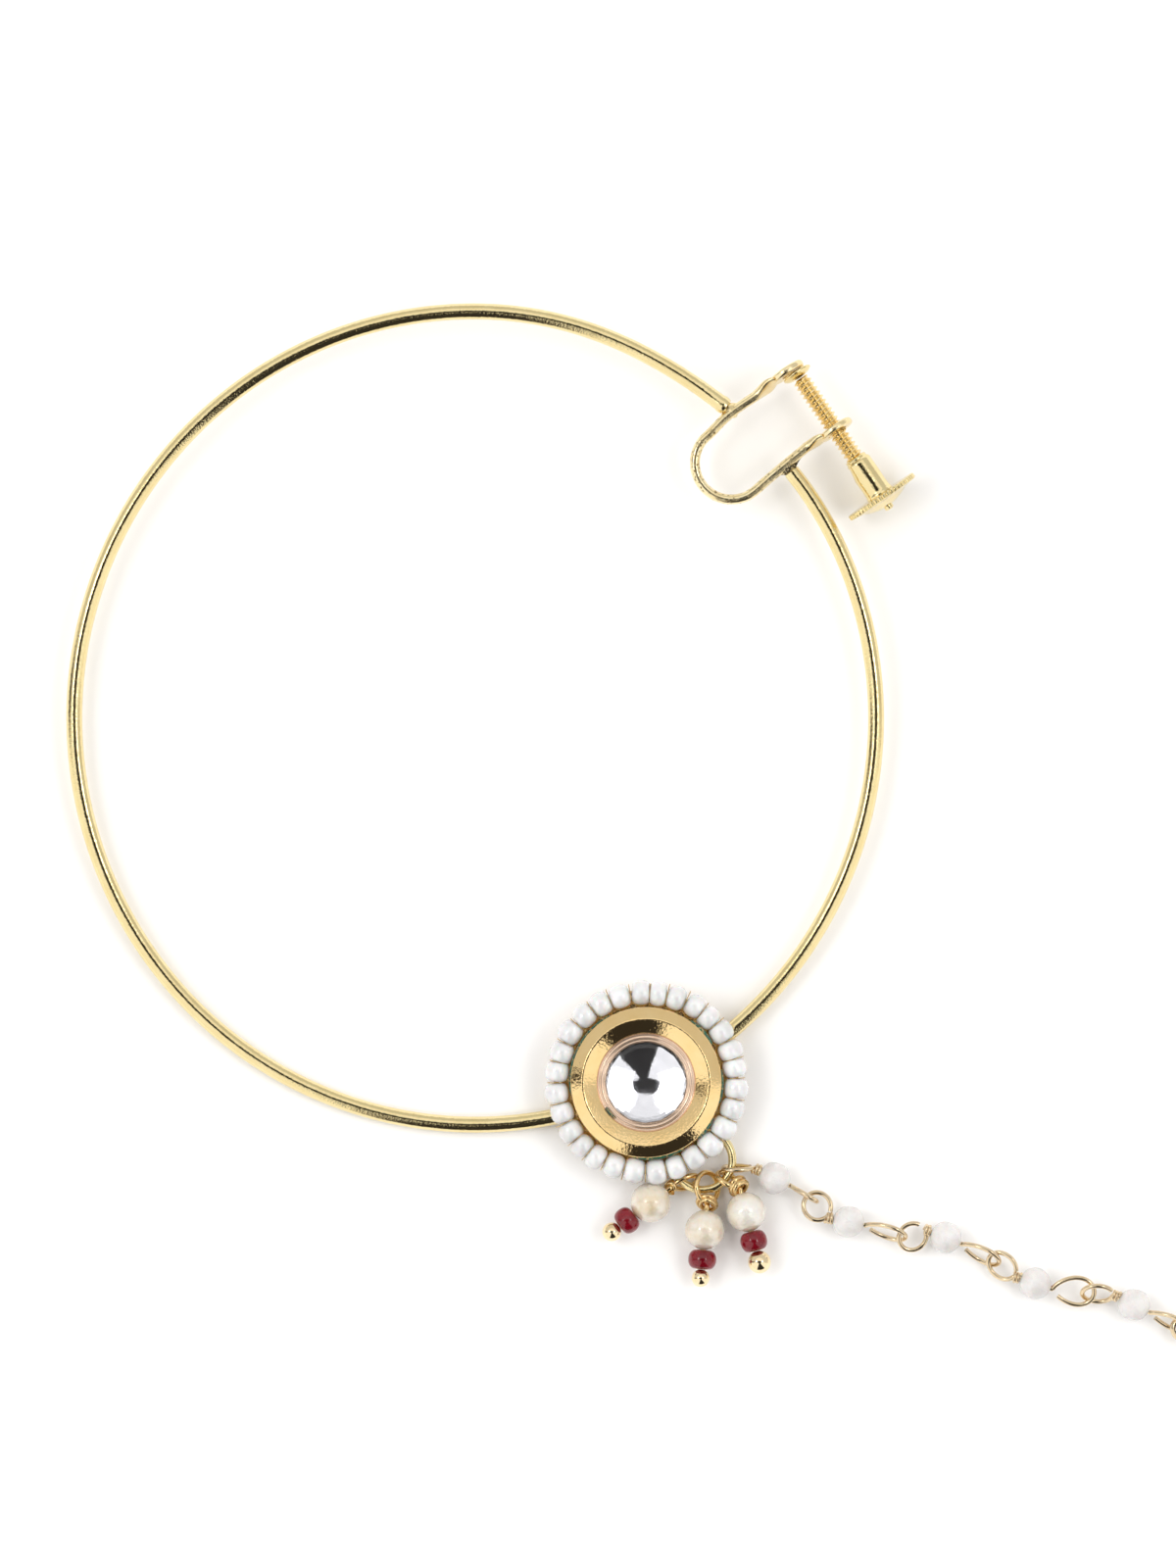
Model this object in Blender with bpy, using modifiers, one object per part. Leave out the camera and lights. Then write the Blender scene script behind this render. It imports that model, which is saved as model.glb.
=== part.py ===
"""Nose hoop with a screw clip, a round stone setting, three pearl drops and a pearl chain.

The jewel lies on a flat surface, Z up. All sizes are real ones in millimetres, and MM turns
them into Blender's metres. The hoop with its setting and clip is built flat in its own plane,
which then leans on the rim of the thumb disc. Drops and chain lie on the surface.
"""
import math

import bmesh
import bpy
from mathutils import Matrix, Vector

MM = 0.001

# Hoop wire, as a slightly tall ring, seen from the front
hoop_half_width = 29.7
hoop_half_height = 30.15
hoop_wire = 1.2
hoop_sides = 10
hoop_steps = 64

# The hoop is a little flattened next to the clip, and its ends are soldered to it
hoop_flat = 0.4
hoop_flat_angle = 56.0
hoop_flat_spread = 18.0
hoop_end_ridge = 1.34
hoop_end_reach = 0.45
hoop_end_step = 0.05
solder_neck = 0.9
solder_length = 0.68

# U-shaped clip, bent from a strip, with a round eye at each end
clip_angle = 38.9
clip_turn = -55.4
clip_spread = 5.4
clip_depth = 5.95
clip_reach = 4.5
clip_skew = 0.35
clip_arm = 0.4
clip_dip = 0.15
strip_thickness = 0.75
strip_width = 1.25
strip_bend_steps = 9
eye_diameter = 2.8
eye_thickness = 0.5
eye_round = 0.1
eye_steps = 20
upper_eye_bore = 1.1
upper_eye_shift = 0.15
upper_eye_offset = 0.55
eye_lap = 0.15
neck_share = 0.8

# Screw, its swivelling pad and its thumb disc, all on one axis
thread_diameter = 1.4
thread_pitch = 0.38
thread_depth = 0.16
thread_form = (0.25, 0.75)
thread_end = 2.52
thread_tip = 0.8
barrel_diameter = 2.0
barrel_length = 3.3
barrel_neck = 1.68
barrel_neck_length = 0.2
barrel_shoulder = 0.15
shaft_steps = 12
disc_diameter = 5.8
disc_thickness = 0.42
disc_teeth = 48
disc_tooth_depth = 0.09
cone_height = 0.9
cone_rim = 0.35
cone_waist = (0.55, 0.4)
cone_steps = 24
nub_diameter = 0.7
nub_height = 0.3
nub_round = 0.5
pad_diameter = 2.3
pad_thickness = 0.5
pad_belt = (0.25, 0.5)
pad_face = 0.8
pad_steps = 16
pad_clearance = 0.1
bore_clearance = 0.09

# Setting on the hoop: flange, wall, outer slope, ridge, inner slope, shelf and well
setting_angle = -64.4
setting_inset = 0.35
setting_radius = 5.63
setting_steps = 44
flange_radius = 6.35
flange_thickness = 0.3
setting_back = 0.3
wall_height = 2.2
wall_lip = 0.12
wall_draft = 0.1
ridge_radius = 4.75
ridge_height = 2.75
inner_edge_radius = 3.68
inner_edge_height = 2.25
shelf_drop = 0.25
stone_diameter = 6.0
stone_table = 4.6
stone_break = (0.9, 0.62)
stone_back = 2.4
stone_crown = 0.6
stone_girdle = 0.2
stone_depth = 0.8
stone_facets = 16
stone_clearance = 0.1

# Seed bead string round the setting
seed_count = 28
seed_ring_radius = 6.65
seed_diameter = 1.95
seed_wire = 0.4
seed_height = 1.42
seed_shape = ((0.14, 0.8), (0.5, 1.0), (0.86, 0.8))
seed_sides = 10

# Carrier ring soldered under the setting's edge
ring_diameter = 5.0
ring_wire = 0.62
ring_reach = 7.23
ring_angle = -54.6
ring_height = 0.4
ring_steps = 32
ring_sides = 8

# Direction in which the leaning hoop rises
lean_direction = 78.6

# Wire of the drops and of the chain
pin_wire = 0.4
link_wire = 0.36
link_wrap = 0.5
loop_lead = 0.12
wrap_diameter = 0.92
coil_shape = ((0.15, 0.8), (0.5, 1.0), (0.85, 0.8))
pin_sides = 10
link_sides = 6
loop_points = 12
loop_gap_round = 0.55
loop_gap_drop = 0.95
bead_gap = 0.05
hole_gap = 0.06
drop_lead = 0.3
ball_steps = 6
ball_close = 1.4
drop_pearl_steps = (14, 8)
drop_bead_steps = (12, 6)
chain_pearl_steps = (12, 7)

# Drops: where the pearl lies from the carrier ring's middle, which way the ball points, the sizes
# of pearl and bead, the wound stem, and the loop's heading, slope, length, width and roll about its own length
drop_columns = ("x", "y", "heading", "pearl", "bead", "bead_length", "ball",
                "wrap_heading", "wrap_slope", "wrap", "wrap_size",
                "loop_heading", "loop_slope", "loop_length", "loop_width", "loop_roll", "loop_taper")
drop_rows = (
    (-3.86, -3.10, 217, 3.00, 2.0, 1.42, 1.40, 34, -49, 0.25, 0.78, 15, -20, 2.1, 1.5, 58, 0.5),
    (0.15, -5.14, 265, 2.95, 2.1, 1.45, 1.32, 78, -39, 0.35, 1.2, 92, -6, 2.2, 2.2, 43, 0.0),
    (3.20, -3.82, 285, 2.95, 2.0, 1.50, 1.70, 133, -35, 0.40, 1.15, 147, -7, 1.65, 1.7, 66, 0.0),
)

# Chain: where each pearl lies from the carrier ring's middle, its wire's heading, and each loop
chain_columns = ("x", "y", "heading", "pearl",
                 "a_heading", "a_slope", "a_length", "a_width", "a_roll", "a_taper",
                 "b_heading", "b_slope", "b_length", "b_width", "b_roll", "b_taper")
chain_rows = (
    (5.33, -1.31, -26, 2.36, 180, -6, 2.3, 1.54, 79, 0.6, -31, 0, 2.25, 1.7, 88, 0.8),
    (10.80, -4.55, -11, 2.36, 128, 0, 2.1, 2.0, 4, 0.0, -17, 3, 3.05, 1.8, 62, 0.5),
    (18.01, -5.72, -22, 2.36, 213, 0, 2.1, 2.0, -15, 0.0, -27, 0, 3.03, 1.9, 60, 0.6),
    (24.66, -9.12, -18, 2.36, 137, 1, 2.3, 1.9, -26, 0.0, -5, 2, 3.1, 2.1, 17, 0.5),
    (31.96, -10.69, -26, 2.40, 177, 1, 2.3, 1.9, -51, 0.0, -24, 0, 2.9, 1.7, 60, 0.8),
)

# Hair hook at the end of the chain, one plain bent wire
hook_wire = 0.7
hook_eye = 2.2
hook_length = 9.0
hook_width = 3.0
hook_overlap = 0.85
hook_eye_start = 18.0
hook_eye_sweep = 300.0
hook_eye_steps = 12
hook_neck = 1.0
hook_return = 4.5
hook_bend_steps = 8
hook_sides = 8


def polar(radius, degrees):
    angle = math.radians(degrees)
    return Vector((radius * math.cos(angle), radius * math.sin(angle), 0.0))


def hoop_point(degrees):
    """Middle of the hoop's wire at an angle, a tall ring flattened next to the clip."""
    angle = math.radians(degrees)
    off = (degrees - hoop_flat_angle + 180.0) % 360.0 - 180.0
    inward = hoop_flat * math.exp(-((off / hoop_flat_spread) ** 2))
    return Vector(((hoop_half_width - inward) * math.cos(angle),
                   (hoop_half_height - inward) * math.sin(angle), 0.0))


# Start from an empty scene with one collection for the jewel and one for its tools
def clear_scene():
    for old in list(bpy.data.objects):
        bpy.data.objects.remove(old, do_unlink=True)


def make_collection(name):
    group = bpy.data.collections.new(name)
    bpy.context.scene.collection.children.link(group)
    return group


clear_scene()
jewel = make_collection("nose_pin")
tools = make_collection("joined_forms")


def make_material(name, color, roughness, metallic):
    material = bpy.data.materials.new(name)
    material.use_nodes = True
    shader = material.node_tree.nodes["Principled BSDF"]
    shader.inputs["Base Color"].default_value = (*color, 1.0)
    shader.inputs["Roughness"].default_value = roughness
    shader.inputs["Metallic"].default_value = metallic
    return material


gold = make_material("pale_gold", (0.91, 0.75, 0.40), 0.12, 1.0)
wire_gold = make_material("wire_gold", (0.87, 0.62, 0.27), 0.16, 1.0)
chain_gold = make_material("chain_gold", (0.84, 0.72, 0.48), 0.16, 1.0)
seed_pearl = make_material("seed_pearl", (0.93, 0.92, 0.90), 0.22, 0.0)
drop_pearl = make_material("drop_pearl", (0.95, 0.91, 0.82), 0.18, 0.0)
chain_pearl = make_material("chain_pearl", (0.93, 0.90, 0.88), 0.2, 0.0)
ruby_glass = make_material("ruby_glass", (0.34, 0.01, 0.03), 0.08, 0.0)
clear_stone = make_material("clear_stone", (0.85, 0.86, 0.88), 0.03, 0.0)


def add_empty(name, parent=None, matrix=None):
    frame = bpy.data.objects.new(name, None)
    jewel.objects.link(frame)
    frame.parent = parent
    if matrix is not None:
        frame.matrix_local = matrix
    return frame


def add_object(name, data, material, group=None, parent=None):
    piece = bpy.data.objects.new(name, data)
    data.materials.append(material)
    (group or jewel).objects.link(piece)
    piece.parent = parent
    return piece


def smooth(mesh, degrees=35):
    mesh.shade_smooth()
    mesh.set_sharp_from_angle(angle=math.radians(degrees))


# The jewel's own frame, and the leaning plane of the hoop in it
jewel_frame = add_empty("jewel_frame")


def screw_place():
    """Lower eye's centre and the screw's direction, in the hoop's plane."""
    outward = polar(1.0, clip_turn + 90.0)
    return hoop_point(clip_angle) + outward * clip_reach, polar(1.0, clip_turn)


lower_eye, screw_direction = screw_place()
disc_middle = lower_eye + screw_direction * (thread_end + barrel_length + disc_thickness / 2)
uphill = polar(1.0, lean_direction)
low_reach = math.hypot(hoop_half_width * uphill.x, hoop_half_height * uphill.y)
slope = (disc_diameter - hoop_wire) / 2 / (low_reach + disc_middle.dot(uphill))
middle_height = hoop_wire / 2 + slope * low_reach
lean = Matrix.Rotation(math.atan(slope), 4, Vector((uphill.y, -uphill.x, 0.0)))
hoop_plane = add_empty("hoop_plane", jewel_frame,
                       Matrix.Translation((0.0, 0.0, middle_height * MM)) @ lean)


# Wires, turned forms and joins
def make_wire(name, points, radii, sides, material, cyclic=False, group=None, parent=None):
    """A round wire through points in mm, with a radius in mm at each point."""
    curve = bpy.data.curves.new(name, "CURVE")
    curve.dimensions = "3D"
    curve.bevel_depth = MM
    curve.bevel_resolution = (sides - 4) // 2
    curve.use_fill_caps = not cyclic
    spline = curve.splines.new("POLY")
    spline.points.add(len(points) - 1)
    for knot, point, radius in zip(spline.points, points, radii):
        knot.co = (*(Vector(point) * MM), 1.0)
        knot.radius = radius
    spline.use_cyclic_u = cyclic
    spline.use_smooth = True
    return add_object(name, curve, material, group, parent)


def curve_to_mesh(piece):
    """Replace a curve object by a closed mesh object with the same name and place."""
    bpy.context.view_layer.update()
    graph = bpy.context.evaluated_depsgraph_get()
    mesh = bpy.data.meshes.new_from_object(piece.evaluated_get(graph))
    shape = bmesh.new()
    shape.from_mesh(mesh)
    bmesh.ops.remove_doubles(shape, verts=shape.verts, dist=0.002 * MM)
    bmesh.ops.recalc_face_normals(shape, faces=shape.faces)
    shape.to_mesh(mesh)
    shape.free()
    name, parent, group = piece.name, piece.parent, piece.users_collection[0]
    place = piece.matrix_world.copy()
    bpy.data.objects.remove(piece, do_unlink=True)
    solid = bpy.data.objects.new(name, mesh)
    group.objects.link(solid)
    solid.parent = parent
    solid.matrix_world = place
    smooth(mesh)
    return solid


def make_turned(name, profile, steps, material, closed=False, group=None, parent=None, flat=False):
    """A form turned about its local Z from a profile of (radius, height) in mm."""
    mesh = bpy.data.meshes.new(name)
    shape = bmesh.new()
    knots = [shape.verts.new((radius * MM, 0.0, height * MM)) for radius, height in profile]
    for first, second in zip(knots, knots[1:]):
        shape.edges.new((first, second))
    if closed:
        shape.edges.new((knots[-1], knots[0]))
    shape.to_mesh(mesh)
    shape.free()
    piece = add_object(name, mesh, material, group, parent)
    screw = piece.modifiers.new("turn", "SCREW")
    screw.steps = steps
    screw.render_steps = steps
    screw.use_merge_vertices = True
    screw.merge_threshold = 0.005 * MM
    screw.use_smooth_shade = not flat
    return piece


def join_to(base, other):
    """Solder another form to the base with a union."""
    other.hide_render = True
    other.display_type = "WIRE"
    joint = base.modifiers.new("solder_" + other.name, "BOOLEAN")
    joint.operation = "UNION"
    joint.solver = "EXACT"
    joint.object = other


def aim(piece, spot, direction):
    """Put a turned form's middle at a spot in mm, with its local Z along a direction."""
    turn = Vector(direction).to_track_quat("Z", "Y").to_matrix().to_4x4()
    piece.matrix_local = Matrix.Translation(Vector(spot) * MM) @ turn


# The hoop's wire runs the long way round between the two arms of the clip
def make_hoop_wire():
    radius = (hoop_half_width + hoop_half_height) / 2
    lag = math.radians(clip_angle - clip_turn - 90.0)
    away = math.degrees(math.asin(math.sin(lag) + clip_spread / radius) - lag)
    start = clip_angle + away
    finish = clip_angle + 360.0
    trim = math.degrees(solder_length / radius)
    first = start + trim
    last = finish - trim
    neck = solder_neck / 2
    ridge = (first + math.degrees(hoop_end_reach / radius), hoop_end_ridge / 2)
    knots = [(start, neck), (first - hoop_end_step, neck), (first, hoop_wire / 2), ridge]
    for step in range(2, hoop_steps + 1):
        knots.append((first + (last - first) * step / hoop_steps, hoop_wire / 2))
    knots += [(last + hoop_end_step, neck), (finish, neck)]
    points = [hoop_point(angle) for angle, _ in knots]
    radii = [size for _, size in knots]
    wire = make_wire("hoop", points, radii, hoop_sides, gold, parent=hoop_plane)
    return curve_to_mesh(wire)


# Clip strip: a U bent in the hoop's plane, with a section rounded on both edges
def clip_spot(outward, along):
    """A spot in the hoop's plane, counted from the lower arm's joint with the hoop."""
    across = polar(1.0, clip_turn + 90.0)
    return hoop_point(clip_angle) + across * outward + screw_direction * along


def make_clip_strip():
    bend = clip_spread / 2
    straight = clip_depth - bend
    neck = clip_reach - eye_diameter / 2 + eye_lap
    points = [clip_spot(neck - upper_eye_offset, -clip_spread - upper_eye_shift)]
    points.append(clip_spot(clip_reach * clip_arm, -clip_spread))
    points.append(clip_spot(-straight * clip_arm, -clip_spread))
    for step in range(strip_bend_steps + 1):
        turn = math.pi * step / strip_bend_steps
        points.append(clip_spot(-straight - bend * math.sin(turn),
                                clip_skew - bend - bend * math.cos(turn)))
    points.append(clip_spot(-straight * clip_arm, clip_dip))
    points.append(clip_spot(clip_reach * clip_arm, -clip_dip))
    points.append(clip_spot(neck, -clip_dip))
    curve = bpy.data.curves.new("clip_strip", "CURVE")
    curve.dimensions = "3D"
    curve.twist_mode = "Z_UP"
    curve.bevel_depth = strip_thickness / 2 * MM
    curve.extrude = (strip_width - strip_thickness) / 2 * MM
    curve.bevel_resolution = 1
    curve.use_fill_caps = True
    spline = curve.splines.new("POLY")
    spline.points.add(len(points) - 1)
    for knot, point in zip(spline.points, points):
        knot.co = (*(point * MM), 1.0)
    spline.points[0].radius = neck_share
    spline.points[-1].radius = neck_share
    strip = add_object("clip_strip", curve, gold, tools, hoop_plane)
    return curve_to_mesh(strip)


def make_eye(name, spot, bore):
    edge = eye_thickness / 2
    outer = eye_diameter / 2
    inner = bore / 2
    profile = [(inner, edge), (outer - eye_round, edge), (outer, edge - eye_round),
               (outer, eye_round - edge), (outer - eye_round, -edge), (inner, -edge)]
    eye = make_turned(name, profile, eye_steps, gold, True, tools, hoop_plane)
    aim(eye, spot, screw_direction)
    return eye


# Setting: one turned cup whose back plate is soldered on the hoop's wire
setting_middle = hoop_point(setting_angle) - polar(setting_inset, setting_angle)
ring_middle = setting_middle + polar(ring_reach, ring_angle)


def make_setting():
    well = stone_diameter / 2 + stone_clearance
    shelf = inner_edge_height - shelf_drop
    floor = shelf - stone_girdle - stone_depth - 2 * stone_clearance
    profile = [
        (0.0, floor),
        (stone_back / 2 + stone_clearance, floor),
        (well, shelf - stone_girdle - stone_clearance),
        (well, shelf),
        (inner_edge_radius, shelf),
        (inner_edge_radius, inner_edge_height),
        (ridge_radius, ridge_height),
        (setting_radius, wall_height),
        (setting_radius - wall_lip, wall_height - wall_lip),
        (setting_radius - wall_lip - wall_draft, flange_thickness),
        (flange_radius, flange_thickness),
        (flange_radius, 0.0),
        (0.0, 0.0),
    ]
    setting = make_turned("setting", profile, setting_steps, gold, False, tools, hoop_plane)
    setting.location = (setting_middle + Vector((0.0, 0.0, setting_back))) * MM
    return setting


def make_carrier_ring():
    bpy.ops.mesh.primitive_torus_add(
        major_segments=ring_steps,
        minor_segments=ring_sides,
        major_radius=(ring_diameter - ring_wire) / 2 * MM,
        minor_radius=ring_wire / 2 * MM,
    )
    ring = bpy.context.active_object
    ring.name = "carrier_ring"
    for group in list(ring.users_collection):
        group.objects.unlink(ring)
    tools.objects.link(ring)
    ring.data.materials.append(gold)
    ring.parent = hoop_plane
    ring.location = (ring_middle + Vector((0.0, 0.0, ring_height))) * MM
    return ring


hoop = make_hoop_wire()
join_to(hoop, make_clip_strip())
upper_eye = clip_spot(clip_reach - upper_eye_offset, -clip_spread - upper_eye_shift)
join_to(hoop, make_eye("upper_eye", upper_eye, upper_eye_bore))
join_to(hoop, make_eye("lower_eye", lower_eye, thread_diameter + 2 * bore_clearance))
join_to(hoop, make_setting())
join_to(hoop, make_carrier_ring())


# Stone: a flat table, two rows of crown facets, a girdle and a shallow back
def make_stone():
    edge = stone_diameter / 2
    break_radius, break_height = stone_break
    profile = [
        (0.0, stone_crown),
        (stone_table / 2, stone_crown),
        (edge * break_radius, stone_crown * break_height),
        (edge, 0.0),
        (edge, -stone_girdle),
        (stone_back / 2, -stone_girdle - stone_depth),
        (0.0, -stone_girdle - stone_depth),
    ]
    stone = make_turned("setting_stone", profile, stone_facets, clear_stone, parent=hoop_plane,
                        flat=True)
    shelf = setting_back + inner_edge_height - shelf_drop
    stone.location = (setting_middle + Vector((0.0, 0.0, shelf))) * MM
    return stone


make_stone()


# Seed beads threaded on one wire round the setting's wall, as one fused string
def make_seed_ring():
    points = []
    radii = []
    pitch = 360.0 / seed_count
    shape = ((0.0, seed_wire / seed_diameter), *seed_shape)
    for bead in range(seed_count):
        for share, size in shape:
            spot = setting_middle + polar(seed_ring_radius, (bead + share) * pitch)
            spot.z = setting_back + seed_height
            points.append(spot)
            radii.append(size * seed_diameter / 2)
    make_wire("seed_bead_ring", points, radii, seed_sides, seed_pearl, True, parent=hoop_plane)


make_seed_ring()


# Screw: pad, thread, barrel, serrated disc and cone, turned on one axis
pad_seat = -(clip_spread + upper_eye_shift) + eye_thickness / 2 + pad_clearance
thread_start = pad_seat + pad_thickness + pad_clearance


def make_screw_shaft():
    crest = thread_diameter / 2
    root = crest - thread_depth
    barrel = barrel_diameter / 2
    neck = barrel_neck / 2
    inside_disc = thread_end + barrel_length + disc_thickness / 2
    neck_top = thread_end + barrel_neck_length
    profile = [(0.0, inside_disc), (barrel, inside_disc), (barrel, neck_top + barrel_shoulder),
               (neck, neck_top), (neck, thread_end)]
    valley, peak = thread_form
    for turn in range(int((thread_end - thread_start) / thread_pitch)):
        top = thread_end - turn * thread_pitch
        profile.append((root, top - thread_pitch * valley))
        profile.append((crest, top - thread_pitch * peak))
    profile += [(root * thread_tip, thread_start), (0.0, thread_start)]
    shaft = make_turned("clip_screw", profile, shaft_steps, gold, parent=hoop_plane)
    aim(shaft, lower_eye, screw_direction)
    return shaft


def make_thumb_disc():
    outline = bpy.data.curves.new("thumb_disc", "CURVE")
    outline.dimensions = "2D"
    outline.fill_mode = "BOTH"
    outline.extrude = disc_thickness / 2 * MM
    spline = outline.splines.new("POLY")
    spline.points.add(2 * disc_teeth - 1)
    for index, knot in enumerate(spline.points):
        depth = disc_tooth_depth if index % 2 else 0.0
        spot = polar(disc_diameter / 2 - depth, index * 180.0 / disc_teeth)
        knot.co = (*(spot * MM), 1.0)
    spline.use_cyclic_u = True
    disc = add_object("thumb_disc", outline, gold, tools, hoop_plane)
    aim(disc, disc_middle, screw_direction)
    return curve_to_mesh(disc)


def make_disc_cone():
    base = disc_diameter / 2 - cone_rim
    nub = nub_diameter / 2
    waist_radius, waist_height = cone_waist
    profile = [(0.0, cone_height), (nub * nub_round, cone_height),
               (nub, cone_height - nub_height * nub_round), (nub, cone_height - nub_height),
               (base * waist_radius, cone_height * waist_height), (base, 0.0),
               (base, -disc_thickness / 2), (0.0, -disc_thickness / 2)]
    cone = make_turned("disc_cone", profile, cone_steps, gold, False, tools, hoop_plane)
    aim(cone, disc_middle + screw_direction * (disc_thickness / 2), screw_direction)
    return cone


def make_pad():
    edge = pad_diameter / 2
    belt_low, belt_high = pad_belt
    profile = [(0.0, pad_thickness), (thread_diameter / 2, pad_thickness),
               (edge, pad_thickness * belt_high), (edge, pad_thickness * belt_low),
               (edge * pad_face, 0.0), (0.0, 0.0)]
    pad = make_turned("clip_pad", profile, pad_steps, gold, parent=hoop_plane)
    aim(pad, lower_eye + screw_direction * pad_seat, screw_direction)


screw_shaft = make_screw_shaft()
join_to(screw_shaft, make_thumb_disc())
join_to(screw_shaft, make_disc_cone())
make_pad()


# Beads with a drilled hole, turned about their wire
def make_bead(name, diameter, length, bore, steps, material):
    """A drilled bead, with steps round its wire and along its outline."""
    around, arc_steps = steps
    profile = []
    half = length / 2
    mouth = math.asin(bore / diameter)
    for step in range(arc_steps + 1):
        turn = mouth + (math.pi - 2 * mouth) * step / arc_steps
        profile.append((diameter / 2 * math.sin(turn), half * math.cos(turn)))
    return make_turned(name, profile, around, material, True, parent=jewel_frame)


def loop_path(base, value, prefix):
    """Points of a wire loop that leaves a base point, goes round and comes back beside it.

    A taper of 0 makes a round eye, and 1 a drop shape that leaves the base straight ahead.
    """
    flat = polar(1.0, value[prefix + "_heading"])
    rise = math.radians(value[prefix + "_slope"])
    length = value[prefix + "_length"]
    taper = value[prefix + "_taper"]
    ahead = flat * math.cos(rise) + Vector((0.0, 0.0, math.sin(rise)))
    side = Vector((0.0, 0.0, 1.0)).cross(flat)
    above = ahead.cross(side)
    turn = math.radians(value[prefix + "_roll"])
    across = side * math.cos(turn) + above * math.sin(turn)
    sweep = 2 * math.pi - loop_gap_round - (loop_gap_drop - loop_gap_round) * taper
    turns = [sweep * step / loop_points for step in range(1, loop_points + 1)]
    breadths = [math.sin(angle) * math.sin(angle / 2) ** taper for angle in turns]
    scale = value[prefix + "_width"] / 2 / max(breadths)
    points = []
    for angle, breadth in zip(turns, breadths):
        along = length * (1 - math.cos(angle)) / 2
        points.append(base + ahead * along + across * (breadth * scale))
    return points


def wrap_path(start, direction, length, wire, size):
    """Points and radii of a stem with ridges where the wire is wound round it."""
    points = [start]
    radii = [wire / 2]
    coils = max(1, round(length / wire))
    for coil in range(coils):
        for share, width in coil_shape:
            points.append(start + direction * (length * (coil + share) / coils))
            radii.append(width * size / 2)
    points.append(start + direction * length)
    radii.append(wire / 2)
    return points, radii


def make_drop(number, row):
    value = dict(zip(drop_columns, row))
    name = f"drop_{number}_"
    pearl = value["pearl"]
    ahead = polar(1.0, value["heading"])
    middle = ring_middle + Vector((value["x"], value["y"], pearl / 2))
    bore = pin_wire + 2 * hole_gap
    bead = make_bead(name + "pearl", pearl, pearl, bore, drop_pearl_steps, drop_pearl)
    aim(bead, middle, ahead)
    pole = math.sqrt(pearl ** 2 - bore ** 2) / 2
    size, length = value["bead"], value["bead_length"]
    reach = length / 2 * math.sqrt(1 - (bore / size) ** 2)
    red = make_bead(name + "bead", size, length, bore, drop_bead_steps, ruby_glass)
    red_spot = middle + ahead * (pole + bead_gap + reach)
    aim(red, red_spot, ahead)
    ball = value["ball"] / 2
    wrap_end = middle - ahead * (pole + bead_gap + drop_lead)
    lift = math.radians(value["wrap_slope"])
    back = polar(math.cos(lift), value["wrap_heading"]) + Vector((0.0, 0.0, math.sin(lift)))
    base = wrap_end + back * value["wrap"]
    points = loop_path(base, value, "loop")[::-1]
    radii = [pin_wire / 2] * len(points)
    wrap_points, wrap_radii = wrap_path(base, -back, value["wrap"], pin_wire, value["wrap_size"])
    points += wrap_points
    radii += wrap_radii
    root = math.asin(pin_wire / 2 / ball)
    ball_middle = red_spot + ahead * (reach + bead_gap + ball * math.cos(root))
    for step in range(ball_steps + 1):
        turn = root + (math.pi - ball_close * root) * step / ball_steps
        points.append(ball_middle - ahead * (ball * math.cos(turn)))
        radii.append(ball * math.sin(turn))
    make_wire(name + "pin", points, radii, pin_sides, wire_gold, parent=jewel_frame)


for number, row in enumerate(drop_rows, 1):
    make_drop(number, row)


def make_chain_unit(number, row):
    value = dict(zip(chain_columns, row))
    pearl = value["pearl"]
    ahead = polar(1.0, value["heading"])
    middle = ring_middle + Vector((value["x"], value["y"], pearl / 2))
    bore = link_wire + 2 * hole_gap
    name = f"chain_{number}_"
    bead = make_bead(name + "pearl", pearl, pearl, bore, chain_pearl_steps, chain_pearl)
    aim(bead, middle, ahead)
    pole = math.sqrt(pearl ** 2 - bore ** 2) / 2
    base_a = middle - ahead * (pole + bead_gap + link_wrap)
    base_b = middle + ahead * (pole + bead_gap + loop_lead)
    loop_a = loop_path(base_a, value, "a")
    loop_b = loop_path(base_b, value, "b")
    wrap_points, wrap_radii = wrap_path(base_a, ahead, link_wrap, link_wire, wrap_diameter)
    points = loop_a[::-1] + wrap_points + [base_b] + loop_b
    radii = [link_wire / 2] * len(loop_a) + wrap_radii + [link_wire / 2] * (1 + len(loop_b))
    make_wire(name + "link", points, radii, link_sides, chain_gold, parent=jewel_frame)
    return base_b, value


for number, row in enumerate(chain_rows, 1):
    last_base, last_value = make_chain_unit(number, row)


# Hair hook: an eye through the last link, a straight back and a turned-over hook
def make_hook():
    heading = last_value["b_heading"]
    ahead = polar(1.0, heading)
    side = Vector((0.0, 0.0, 1.0)).cross(ahead)
    tip = last_base + ahead * last_value["b_length"]
    eye_radius = hook_eye / 2 - hook_wire / 2
    middle = tip + ahead * (eye_radius - hook_overlap)
    middle.z = last_base.z
    points = []
    for step in range(hook_eye_steps + 1):
        turn = math.radians(hook_eye_start + hook_eye_sweep * (1 - step / hook_eye_steps))
        spot = ahead * math.cos(turn) - side * math.sin(turn)
        points.append(middle + spot * eye_radius)
    points.append(middle + ahead * (eye_radius + hook_neck))
    far = middle + ahead * (eye_radius + hook_length - hook_width / 2)
    points.append(far)
    for step in range(1, hook_bend_steps + 1):
        turn = math.pi * step / hook_bend_steps
        points.append(far + ahead * (hook_width / 2 * math.sin(turn))
                      + side * (hook_width / 2 * (1 - math.cos(turn))))
    points.append(far + side * hook_width - ahead * hook_return)
    radii = [hook_wire / 2] * len(points)
    make_wire("chain_hook", points, radii, hook_sides, chain_gold, parent=jewel_frame)


make_hook()


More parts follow.
